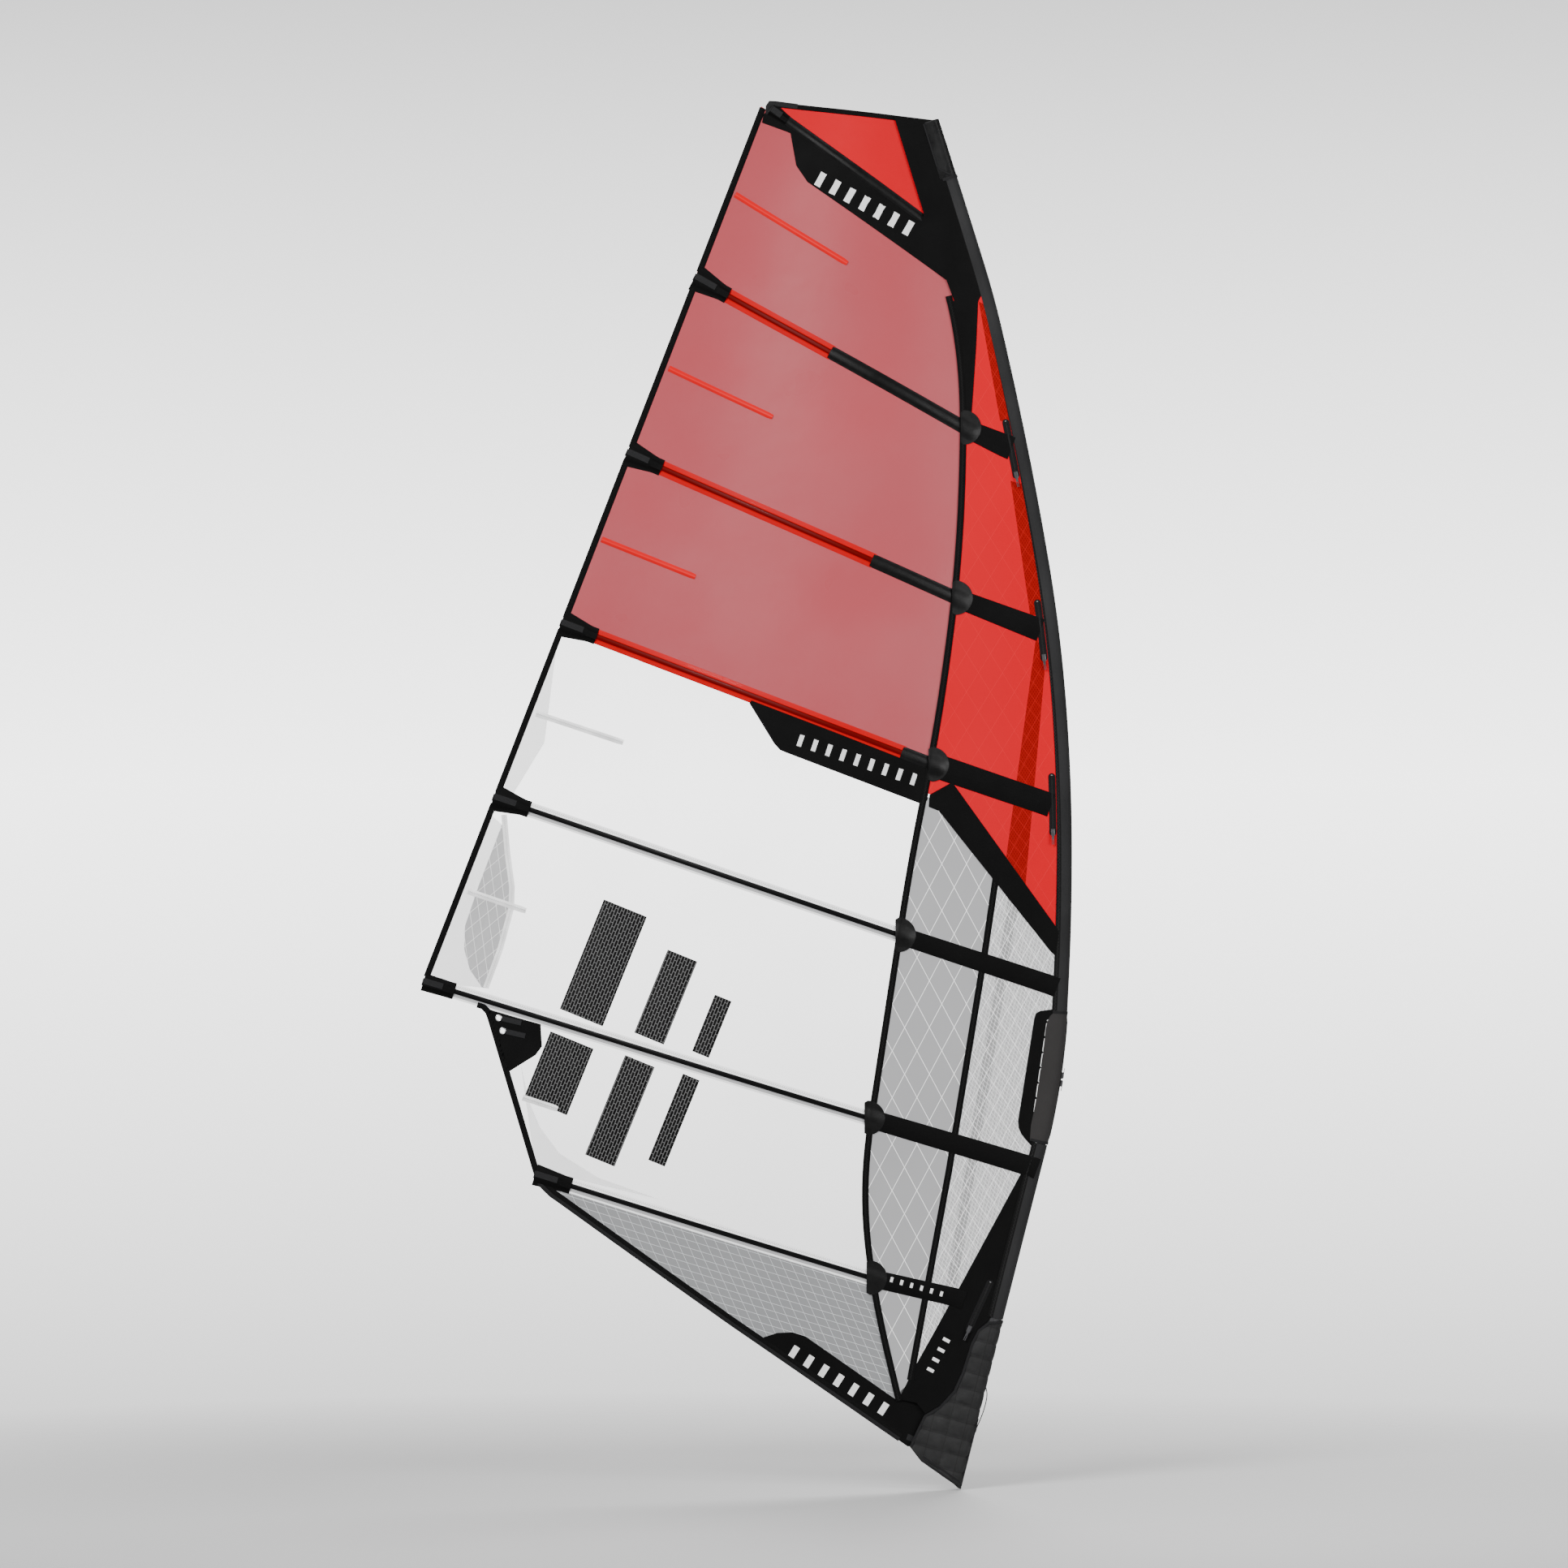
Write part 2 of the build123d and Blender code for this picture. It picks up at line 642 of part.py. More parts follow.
def fairing_profile():
    """Half of the tack fairing across the mast: a flat side running into a quarter round at the nose."""
    r, t = NOSE_R, FAIRING_THICK
    gap = 0.4
    diagonal = math.sqrt(0.5)
    outer_start = (gap, math.sqrt(r * r - gap * gap))
    inner_end = (gap, math.sqrt((r - t) ** 2 - gap * gap))
    edges = [
        ThreePointArc(outer_start, (r * diagonal, r * diagonal), (r, 0)),
        Line((r, 0), (FAIRING_AFT_HALF, -FAIRING_AFT)),
        Line((FAIRING_AFT_HALF, -FAIRING_AFT), (FAIRING_AFT_HALF - t, -FAIRING_AFT)),
        Line((FAIRING_AFT_HALF - t, -FAIRING_AFT), (r - t, 0)),
        ThreePointArc((r - t, 0), ((r - t) * diagonal, (r - t) * diagonal), inner_end),
        Line(inner_end, outer_start),
    ]
    return make_face(edges)


def make_fairing(side):
    """One quilted flap of the tack fairing."""
    half = fairing_profile()
    if side > 0:
        half = mirror(half, Plane.YZ)
    wing = mast_plane(0.0) * Pos(0, 0, -235) * extrude(half, amount=590)
    return wing & prism(FAIRING_EDGE + ((160, 308),) + FAIRING_FOOT)


def pulley_plane():
    """A frame on the pulley's axis: its Z is +Y, across the sail."""
    x, _, z = at_foot(-PULLEY_DOWN, -PULLEY_AFT)
    tilt = math.radians(MAST_LEAN[0][1])
    return Plane(origin=(x, 0, z), x_dir=(-math.cos(tilt), 0, math.sin(tilt)), z_dir=(0, 1, 0))


def make_sheave(place):
    """A grooved sheave; place is -1, 0 or 1 along the pin."""
    rim, groove, half = SHEAVE_R, SHEAVE_R - 3.2, SHEAVE_WIDTH / 2
    bore = PIN_R + RUNNING_GAP
    profile = [(bore, -half), (rim, -half), (rim, -half + 0.8), (groove, -0.8), (groove, 0.8),
               (rim, half - 0.8), (rim, half), (bore, half)]
    section = make_face(Polyline(*[(r, 0, h) for r, h in profile], close=True))
    return pulley_plane() * Pos(0, 0, place * SHEAVE_PITCH) * revolve(section, Axis.Z)


def make_pulley_frame():
    """Two cheeks joined behind the sheaves."""
    inner = 1.5 * SHEAVE_PITCH + 0.3
    cheek = Pos(8, 0) * SlotCenterToCenter(22, 24)
    web = Pos(19.5, 0) * Rectangle(9, 20)
    frame = extrude(Pos(0, 0, inner) * cheek, amount=CHEEK)
    frame += extrude(Pos(0, 0, -inner - CHEEK) * cheek, amount=CHEEK)
    frame += extrude(Pos(0, 0, -inner) * web, amount=2 * inner)
    frame -= Pos(19.5, 0, 0) * Box(2.5, 16, 8)
    return pulley_plane() * (frame - Cylinder(PIN_R + RUNNING_GAP, 60))


def make_pulley_pin():
    length = 3 * SHEAVE_PITCH + 2 * CHEEK + 2.4
    pin = Cylinder(PIN_R, length)
    for way in (-1, 1):
        pin += Pos(0, 0, way * (length / 2 + 0.5)) * Cylinder(PIN_R + 1.2, 1.0)
    return pulley_plane() * pin


def make_tack_strap():
    """Webbing from the pulley's frame into the tack, on both faces of the film."""
    x0, _, z0 = at_foot(-PULLEY_DOWN, -PULLEY_AFT - 25)
    tilt = math.radians(MAST_LEAN[0][1] + 8)
    end = (x0 - 70 * math.cos(tilt), z0 + 70 * math.sin(tilt))
    start = (x0 - 0.5, z0)
    low = FILM / 2 + LAYER_GAP
    strap = []
    for y_low, y_high in ((low, low + FILM), (-low - FILM, -low)):
        strap += (slab(y_low, y_high) & bar(start, end, 18)).solids()
    return Compound(children=strap)


def cam_plane(k):
    """A frame where a cammed batten meets the mast: its Z is up along the mast, its Y is ahead of it."""
    return mast_plane(batten_meets_mast(k)[1])


def roller_aft(k):
    return mast_r(batten_meets_mast(k)[1]) + 7.2


def make_cam(k):
    """A cam: a saddle behind the mast, a pair of rollers' housing, and an arm that holds the batten."""
    z = batten_meets_mast(k)[1]
    r = mast_r(z)
    half = nose_r(z) - 7
    start, back = r * 0.35, r + 18
    plane = cam_plane(k)
    corners = ((half, -start), (CAM_BACK_HALF, -back), (-CAM_BACK_HALF, -back), (-half, -start))
    saddle = extrude(make_face(Polyline(*corners, close=True)), amount=17, both=True)
    saddle -= Cylinder(r + 0.8, 80)
    saddle -= Pos(0, -roller_aft(k) - 0.5, 0) * Box(15, 15, 25)
    saddle -= Pos(0, -roller_aft(k), 0) * Cylinder(2 + RUNNING_GAP, 60)
    front, rear = batten_near_mast(k, r + 15), batten_near_mast(k, r + 96)
    arm = (slab(-9, 9) & bar(front, rear, 26)) - plane * Pos(0, -roller_aft(k) - 0.5, 0) * Box(15.5, 15.5, 40)
    arm -= plane * Cylinder(r + 8, 120)
    body = plane * saddle + arm
    return body - make_channel(k, batten_near_mast(k, r + 58), batten_near_mast(k, r + 140))


def make_rollers(k):
    """Two rollers on one axle that run on the mast as the cam swings round it."""
    rollers = Cylinder(2, 33)
    for way in (-1, 1):
        rollers += Pos(0, 0, way * 6.5) * Cylinder(6, 8)
    return cam_plane(k) * Pos(0, -roller_aft(k), 0) * rollers


def corner_radii(points):
    """Each corner's arc in a cord: 0.45 of the shorter run over the tangent of half the turn."""
    radii = []
    for a, b, c in zip(points, points[1:], points[2:]):
        turn = math.radians((b - a).get_angle(c - b))
        radii.append(0.45 * min((b - a).length, (c - b).length) / math.tan(turn / 2))
    return radii


def make_bungee():
    """The bungee that closes the fairing, from its port flap to the hook below."""
    points = [Vector(*at_foot(along, ahead, -BUNGEE_SIDE)) for along, ahead in BUNGEE_ROUTE]
    radii = corner_radii(points)
    path = FilletPolyline(*points, radius=radii)
    tube = sweep(Plane(origin=points[0], z_dir=points[1] - points[0]) * Circle(BUNGEE_D / 2), path=path)
    ideal = path.length * math.pi * BUNGEE_D ** 2 / 4
    print("bungee length", round(path.length, 1), "radii", [round(r, 1) for r in radii])
    print("bungee volume over section times length", round(tube.volume / ideal, 4))
    return tube


def make_hook():
    """The moulded hook on the port flap that the bungee's lower end goes into."""
    along, ahead = BUNGEE_ROUTE[-1]
    block = Pos(BUNGEE_SIDE, ahead - 2.4, along - 7) * Box(8, 7, 16)
    block = fillet(block.edges().filter_by(Axis.Z), 1.5)
    return mast_plane(0.0) * block - mast_plane(0.0) * Pos(0, 0, -100) * Cylinder(NOSE_R + 0.1, 400)


def write(node, shape):
    export_step(shape, f"parts/{node}.step")


def write_mast():
    write("mast_bottom", make_mast_bottom())
    write("mast_top", make_mast_top())
    write("mast_ferrule", make_ferrule())
    write("mast_tip_plug", make_tip_plug())


def write_battens():
    for k in BATTENS:
        write(f"batten_{k}", make_batten(k))
        write(f"batten_tensioner_{k}", make_tensioner(k))
    write("batten_pockets", Compound(children=[s for k in BATTENS for s in make_pocket(k).solids()]))
    write("mini_battens", make_mini_battens())
    write("cam_bodies", Compound(children=[s for k in CAMMED for s in make_cam(k).solids()]))
    for k in CAMMED:
        write(f"cam_rollers_{k}", make_rollers(k))


def write_body():
    write("head_panel", make_head_panel())
    write("red_film_panels", Compound(children=[s for k in (1, 2, 3) for s in make_panel(k).solids()]))
    write("window_panels", Compound(children=[s for k in (4, 5, 6) for s in make_panel(k).solids()]))
    write("foot_panel", make_foot_panel())
    write("leech_tape", make_leech_tape())
    write("foot_tape", make_foot_tape())
    write("clew_patch", make_clew_patch())
    write("clew_eyelets", make_eyelets())
    write("clew_straps", make_clew_straps())


def write_sleeve():
    write("sleeve_port", make_sleeve_side(-1))
    write("sleeve_starboard", make_sleeve_side(1))
    write("nose_panel_lower", make_nose_panel(330, CUTOUT_LOW_Z - PANEL_GAP))
    write("boom_zip_cover", make_nose_panel(CUTOUT_LOW_Z, CUTOUT_HIGH_Z))
    write("nose_panel_upper", make_nose_panel(CUTOUT_HIGH_Z + PANEL_GAP, SLEEVE_TOP_Z))
    write("head_cap", make_head_cap())
    write("zip_tracks", make_zip_tracks())
    for k in CAM_ZIPS:
        write(f"cam_zip_slider_{k}", make_cam_slider(zip_path(k)))
    write("tack_zip_slider", make_cam_slider(list(TACK_ZIP)))
    write("boom_zip_slider_upper", make_boom_slider(1))
    write("boom_zip_slider_lower", make_boom_slider(-1))


def write_tack():
    write("tack_fairing_port", make_fairing(-1))
    write("tack_fairing_starboard", make_fairing(1))
    write("fairing_bungee", make_bungee())
    write("bungee_hook", make_hook())
    for number, place in enumerate((-1, 0, 1), 1):
        write(f"tack_sheave_{number}", make_sheave(place))
    write("tack_pulley_frame", make_pulley_frame())
    write("tack_pulley_pin", make_pulley_pin())
    write("tack_strap", make_tack_strap())


def main():
    os.makedirs("parts", exist_ok=True)
    write_mast()
    write_battens()
    write_body()
    write_sleeve()
    write_tack()


main()
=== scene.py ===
import math

import bmesh
import bpy
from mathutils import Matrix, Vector


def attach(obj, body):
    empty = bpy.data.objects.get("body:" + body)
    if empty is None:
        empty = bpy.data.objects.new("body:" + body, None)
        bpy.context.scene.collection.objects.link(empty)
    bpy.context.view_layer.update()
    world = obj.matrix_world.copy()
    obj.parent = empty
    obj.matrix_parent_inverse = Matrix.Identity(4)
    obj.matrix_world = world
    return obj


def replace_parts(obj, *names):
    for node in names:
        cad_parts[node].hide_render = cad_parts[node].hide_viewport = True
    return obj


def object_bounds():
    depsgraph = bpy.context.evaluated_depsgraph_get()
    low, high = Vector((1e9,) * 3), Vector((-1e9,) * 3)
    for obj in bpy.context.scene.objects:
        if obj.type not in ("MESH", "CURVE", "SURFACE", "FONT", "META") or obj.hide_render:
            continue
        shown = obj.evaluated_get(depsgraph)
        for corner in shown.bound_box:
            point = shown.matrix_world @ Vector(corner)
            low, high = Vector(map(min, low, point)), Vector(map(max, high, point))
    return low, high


# The looks of a windsurf race sail. The CAD model holds its shape; this adds its cloth, film, seams and trim.
# Shapes are worked out in millimetres, in the model's own frame, and MM turns them into metres.
# The sail stands in the X-Z plane, luff towards +X, port side towards -Y.

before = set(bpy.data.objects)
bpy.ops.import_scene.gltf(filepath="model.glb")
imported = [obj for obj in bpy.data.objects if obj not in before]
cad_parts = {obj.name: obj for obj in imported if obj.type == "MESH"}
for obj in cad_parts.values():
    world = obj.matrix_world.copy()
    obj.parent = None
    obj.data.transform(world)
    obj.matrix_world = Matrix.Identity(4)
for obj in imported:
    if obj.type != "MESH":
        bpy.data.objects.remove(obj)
CAD_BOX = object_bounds()
MM = 0.001
PORT, STARBOARD = -1, 1
SIDES = {"port": PORT, "starboard": STARBOARD}

# The design's driving sizes, as in the CAD model
MAST_LEAN = (
    (-300, 14.3), (820, 14.3), (1250, 3.2), (1700, 0.5), (2200, -4.4),
    (2600, -9.3), (3300, -12.9), (3500, -17.0), (4000, -17.6),
)
LEECH_X0, LEECH_SLOPE = -2158.7, 0.3873
DRAFT, DRAFT_FOOT_Z, DRAFT_PEAK_Z, DRAFT_HEAD_Z, TWIST = 115.0, -200.0, 1200.0, 4350.0, 40.0
DRAFT_GAIN = 28.94
SEAM = (
    (71, -204), (384, -279), (597, -305), (705, -312), (771, -310), (1697, -168), (2021, -102),
    (2285, -60), (2579, -25), (2900, -9), (3128, -9), (3265, -19), (3448, -60), (3600, -115), (3950, -230),
)
BATTENS = {
    1: (-120, 3621, 36.0), 2: (-7, 3003, 29.2), 3: (-33, 2489, 23.9), 4: (-105, 1987, 20.9),
    5: (-205, 1474, 18.7), 6: (-298, 923, 16.9), 7: (-291, 439, 17.1),
}
BATTEN_END_X = {1: -590, 6: -1640, 7: -1302}
MINI_BATTENS = (
    ((-697, 3706), (-359, 3496)), ((-897, 3182), (-584, 3033)), ((-1100, 2666), (-817, 2552)),
    ((-1297, 2140), (-1035, 2053)), ((-1503, 1604), (-1329, 1545)), ((-1338, 982), (-1232, 948)),
)
POCKET_WIDTH, HEAD_POCKET_WIDTH, POCKET_LAP = 45.0, 34.0, 8
SEAM_LAP, SEAM_HALF, FILM = 20.0, 4.2, 1.5
NOSE_R, NOSE_TIP_R, NOSE_TAPER_START_Z, NOSE_LEG = 31.0, 18.0, 1500.0, 17.0
FACE_INSET, FACE_GAP = 3.2, 1.7
SLEEVE_TOP_Z, CUTOUT_LOW_Z, CUTOUT_HIGH_Z = 3758.0, 850.0, 1238.0
HEAD_TOP_Z = 3928
FAIRING_AFT, FAIRING_AFT_HALF = 160.0, 7.0
FAIRING_EDGE = (
    (-170, -72), (-148, -23), (-126, 22), (-79, 51), (-38, 96),
    (-13, 151), (16, 242), (36, 281), (67, 306), (109, 308),
)
BUNGEE_D, BUNGEE_SIDE = 3.0, 9.0
BUNGEE_ROUTE = ((124, 27), (109, 38), (80, 43), (44, 42), (14, 38), (-6, 34.5))
EYELETS = ((-1411, 1222), (-1399, 1183))
LINE_LOW, LINE_HIGH, LINE_STEP, SEAM_COUNT = -260, 4000, 10, 430


# ---- the sail's shape ----

def between(value, stations):
    """Straight-line interpolation in a table of (value, result) pairs."""
    for (low, a), (high, b) in zip(stations, stations[1:]):
        if value <= high:
            return a + (b - a) * (value - low) / (high - low)
    return stations[-1][1]


def steps(low, high, count):
    """Even steps from low to high, with both of them in."""
    return [low + (high - low) * i / count for i in range(count + 1)]


def lean(z):
    return between(z, MAST_LEAN)


def mast_line():
    """The mast's axis: its x at every step of z."""
    above, below = [0.0], []
    for z in range(0, LINE_HIGH, LINE_STEP):
        above.append(above[-1] + LINE_STEP * math.tan(math.radians(lean(z + LINE_STEP / 2))))
    x = 0.0
    for z in range(0, LINE_LOW, -LINE_STEP):
        x -= LINE_STEP * math.tan(math.radians(lean(z - LINE_STEP / 2)))
        below.append(x)
    return below[::-1] + above


MAST_LINE = mast_line()


def mast_x(z):
    place = min(max((z - LINE_LOW) / LINE_STEP, 0), len(MAST_LINE) - 1.001)
    low = int(place)
    return MAST_LINE[low] + (MAST_LINE[low + 1] - MAST_LINE[low]) * (place - low)


def nose_r(z):
    share = min(max((z - NOSE_TAPER_START_Z) / (HEAD_TOP_Z - NOSE_TAPER_START_Z), 0), 1)
    return NOSE_R + (NOSE_TIP_R - NOSE_R) * share


def leech_x(z):
    return LEECH_X0 + LEECH_SLOPE * z


def seam_x(z):
    """The seam between film and sleeve, with its corners rounded off."""
    return sum(between(z + 40 * i, SEAM) for i in range(-4, 5)) / 9


SEAM_LINE = [seam_x(LINE_LOW + LINE_STEP * i) for i in range(SEAM_COUNT)]


def quick_seam_x(z):
    return SEAM_LINE[min(max(round((z - LINE_LOW) / LINE_STEP), 0), SEAM_COUNT - 1)]


def camber(x, z):
    """The sail's mean surface: y at a point of its side view. DRAFT_GAIN makes it one draft deep."""
    t = min(max((mast_x(z) - x) / (mast_x(z) - leech_x(z)), 0), 1.1)
    if z < DRAFT_PEAK_Z:
        turn = max(z - DRAFT_FOOT_Z, 0) / (DRAFT_PEAK_Z - DRAFT_FOOT_Z)
        depth, twist = DRAFT * math.sin(turn * math.pi / 2) ** 2, 0.0
    else:
        rise = (z - DRAFT_PEAK_Z) / (DRAFT_HEAD_Z - DRAFT_PEAK_Z)
        depth, twist = DRAFT * (1 - rise * rise), TWIST * rise * rise
    return -depth * DRAFT_GAIN * t * t * (1 - t) ** 3 - twist * t * t


def off_sail(x, z, out):
    """The place this far across from the mean surface."""
    return x, camber(x, z) + out, z


def no_half(x, z):
    """For pieces measured from the mean surface itself."""
    return 0.0


def sleeve_outer(x, z):
    """Half the sleeve's outer width: thin at the seam and as round as the nose at the mast."""
    seam = quick_seam_x(z)
    share = (x - seam) / (mast_x(z) - seam)
    return SEAM_HALF + (nose_r(z) - FACE_INSET - SEAM_HALF) * share + FILM


def skin_half(x, z, ramp=22.0):
    """Half the sail's thickness: the film's aft of the seam, a short ramp, then the sleeve's."""
    ahead = x - quick_seam_x(z)
    if ahead >= 0:
        return sleeve_outer(x, z)
    share = max(0.0, 1 + ahead / ramp)
    return FILM / 2 + (SEAM_HALF + FILM / 2) * share * share * (3 - 2 * share)


FOOT_TILT = math.radians(MAST_LEAN[0][1])
FOOT_SIN, FOOT_COS = math.sin(FOOT_TILT), math.cos(FOOT_TILT)


def at_foot(along, ahead):
    """A point near the straight bottom of the mast: along its axis and ahead of it."""
    return along * FOOT_SIN + ahead * FOOT_COS, along * FOOT_COS - ahead * FOOT_SIN


def from_foot(x, z):
    """The reverse of at_foot."""
    return x * FOOT_SIN + z * FOOT_COS, x * FOOT_COS - z * FOOT_SIN


def batten_z(k, x, offset=0.0):
    seam, z, climb = BATTENS[k]
    tilt = math.radians(climb)
    return z + (seam - x) * math.tan(tilt) + offset / math.cos(tilt)


def batten_end_x(k):
    seam, z, climb = BATTENS[k]
    slope = math.tan(math.radians(climb))
    return BATTEN_END_X.get(k, (LEECH_X0 + LEECH_SLOPE * (z + seam * slope)) / (1 + LEECH_SLOPE * slope))


def batten_point(k, inward):
    """A point on a batten's centreline, this far in from its leech end."""
    x = batten_end_x(k) + inward * math.cos(math.radians(BATTENS[k][2]))
    return x, batten_z(k, x)


def pocket_width(k):
    return HEAD_POCKET_WIDTH if k == 1 else POCKET_WIDTH


def points_up(line, low, high, shift, step):
    """Points between two heights of a line that gives its x at each height."""
    return [(line(z) + shift, z) for z in steps(low, high, max(1, round((high - low) / step)))]


def seam_points(low, high, shift=0.0):
    return points_up(seam_x, low, high, shift, 40.0)


def mast_points(low, high, shift=-3.0, step=60.0):
    return points_up(mast_x, low, high, shift, step)


def leech_point(k, offset, inset=0.0):
    """Where a line beside a batten meets the leech."""
    z = batten_z(k, batten_end_x(k))
    for _ in range(20):
        z = batten_z(k, leech_x(z) + inset, offset)
    return leech_x(z) + inset, z


# ---- meshes ----

def grid(us, vs):
    """Points (u, v) in rows, and the faces between them."""
    points = [(u, v) for u in us for v in vs]
    n = len(vs)
    faces = [
        (i * n + j, i * n + j + 1, (i + 1) * n + j + 1, (i + 1) * n + j)
        for i in range(len(us) - 1) for j in range(n - 1)
    ]
    return points, faces


def cells(outline, x_cuts, z_cuts):
    """A flat outline cut along lines of constant x and z."""
    bm = bmesh.new()
    bm.faces.new([bm.verts.new((x, 0, z)) for x, z in outline])
    for axis, cuts in ((Vector((1, 0, 0)), x_cuts), (Vector((0, 0, 1)), z_cuts)):
        for place in cuts:
            everything = bm.verts[:] + bm.edges[:] + bm.faces[:]
            bmesh.ops.bisect_plane(bm, geom=everything, dist=0.01, plane_co=axis * place, plane_no=axis)
    bmesh.ops.dissolve_degenerate(bm, dist=0.02, edges=bm.edges[:])
    bm.verts.index_update()
    points = [(v.co.x, v.co.z) for v in bm.verts]
    faces = [tuple(v.index for v in f.verts) for f in bm.faces]
    bm.free()
    return points, faces


def square_cells(outline, size):
    lines = [
        [size * i for i in range(math.floor(min(values) / size) + 1, math.ceil(max(values) / size))]
        for values in zip(*outline)
    ]
    return cells(outline, *lines)


def put(name, data):
    """Adds an object to the scene."""
    made = bpy.data.objects.new(name, data)
    bpy.context.scene.collection.objects.link(made)
    return made


def new_mesh(name, places, faces, flat=()):
    """A mesh from places in millimetres, with its cloth map; flat gives each place's point on that map."""
    mesh = bpy.data.meshes.new(name)
    mesh.from_pydata([Vector(p) * MM for p in places], [], faces)
    layer = mesh.uv_layers.new(name="cloth")
    for loop in mesh.loops if flat else ():
        layer.data[loop.index].uv = flat[loop.vertex_index]
    return mesh


def solid(name, parts, front, back, look, uv=lambda p: p, body="rig", sharp=35.0):
    """A closed thin piece: every point of a flat pattern has a place on its front and one on its back."""
    points, faces = parts
    n = len(points)
    places = [front(*p) for p in points] + [back(*p) for p in points]
    shell = list(faces) + [tuple(n + i for i in reversed(f)) for f in faces]
    edges = {(a, b) for f in faces for a, b in zip(f, f[1:] + f[:1])}
    shell += [(b, a, a + n, b + n) for a, b in edges if (b, a) not in edges]
    mesh = new_mesh(name, places, shell, [Vector(uv(p)) * MM for p in points] * 2)
    return finish_piece(name, mesh, look, body, sharp)


def finish_piece(name, mesh, look, body="rig", sharp=35.0):
    """Turns a mesh into a piece with its normals outward, its material and its body."""
    bm = bmesh.new()
    bm.from_mesh(mesh)
    bmesh.ops.recalc_face_normals(bm, faces=bm.faces[:])
    bm.to_mesh(mesh)
    bm.free()
    mesh.shade_smooth()
    mesh.set_sharp_from_angle(angle=math.radians(sharp))
    piece = put(name, mesh)
    material, slot = look
    mesh.materials.append(material)
    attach(piece, body)
    return piece


def panel(name, outline, look, low, high, side=0, half=no_half, size=25.0):
    """A flat outline laid on the sail. Side 0 wraps the film, out to high; else it lies on one face."""
    reach = side or 1
    near = -high if side == 0 else low

    def place(lift):
        return lambda x, z: off_sail(x, z, reach * (half(x, z) + lift))
    return solid(name, square_cells(outline, size), place(high), place(near), look)


def patch(name, outline, look, side, low=0.1, high=1.1, size=25.0):
    """A flat outline sewn on one face of the sail, over film and sleeve alike."""
    return panel(name, outline, look, low, high, side, skin_half, size)


def resample(path, spacing):
    """The path with more points on it: each with its distance along and the direction there."""
    out, gone = [], 0.0
    for (x0, z0), (x1, z1) in zip(path, path[1:]):
        length = math.hypot(x1 - x0, z1 - z0)
        count = max(1, round(length / spacing))
        for i in range(count):
            share = i / count
            out.append((gone + length * share, x0 + (x1 - x0) * share, z0 + (z1 - z0) * share))
        gone += length
    out.append((gone, *path[-1]))
    rows = []
    for i, (s, x, z) in enumerate(out):
        _, xa, za = out[max(i - 1, 0)]
        _, xb, zb = out[min(i + 1, len(out) - 1)]
        run = math.hypot(xb - xa, zb - za)
        rows.append((s, x, z, (xb - xa) / run, (zb - za) / run))
    return rows


def ribbon(name, path, section, look, side=0, half=None, taper=lambda share: 1.0, spacing=18.0):
    """A strip along a path in the side view. Section lists (across, low, high), and across is positive to the
    right of the path. Side 0 is a solid through the sail, from low to high; else it lies on that face."""
    half = half or (skin_half if side else no_half)
    rows = resample(path, spacing)
    reach = side or 1

    def flat(i, j):
        return rows[i][0], section[j][0] * taper(rows[i][0] / rows[-1][0])

    def place(which):
        def at(i, j):
            _, x, z, dx, dz = rows[i]
            across = flat(i, j)[1]
            x, z = x + dz * across, z - dx * across
            return off_sail(x, z, reach * (half(x, z) + section[j][which]))
        return at
    parts = grid(range(len(rows)), range(len(section)))
    return solid(name, parts, place(2), place(1), look, uv=lambda p: flat(*p))


def flat_section(width, low, high, bevel=1.5):
    """A strip's section with slightly thinned edges."""
    w, thin = width / 2, low + (high - low) * 0.55
    inner = w - bevel
    return [(-w, low, thin), (-inner, low, high), (0.0, low, high), (inner, low, high), (w, low, thin)]


def both_faces(section):
    """The same section on both faces of the film."""
    return [(across, -high, high) for across, _, high in section]


def wrap(name, low, high, leg, look, lift=0.0, wall=1.5, spacing=20.0):
    """A strip round the front of the sleeve; leg gives how far aft of the mast it reaches at a height."""
    arms, arc = 4, 14

    def section(z, turn, inset):
        r = nose_r(z) + lift - inset
        if 0 <= turn <= arc:
            angle = math.pi * turn / arc
            return -r * math.cos(angle), r * math.sin(angle)
        side, count = (-1, -turn) if turn < 0 else (1, turn - arc)
        ahead = -leg(z) * count / arms
        return side * (sleeve_outer(mast_x(z) + ahead, z) + FACE_GAP + lift - inset), ahead

    def place(inset):
        def at(z, turn):
            across, ahead = section(z, turn, inset)
            tilt = math.radians(lean(z))
            return off_sail(mast_x(z) + ahead * math.cos(tilt), z - ahead * math.sin(tilt), across)
        return at

    def uv(p):
        across, ahead = section(*p, 0.0)
        r = nose_r(p[0])
        if ahead <= 0:
            return p[0], math.copysign(math.pi / 2 * r - ahead, across)
        return p[0], math.atan2(across, ahead) * r
    parts = grid(steps(low, high, max(2, round((high - low) / spacing))), range(-arms, arc + arms + 1))
    return solid(name, parts, place(0.0), place(wall), look, uv=uv)


# ---- materials ----

def grey(value, blue=None):
    return value, value, blue or value


def toned(colour, gain, more=0.0):
    """A colour made darker or lighter."""
    return tuple(min(1.0, c * gain + more) for c in colour)


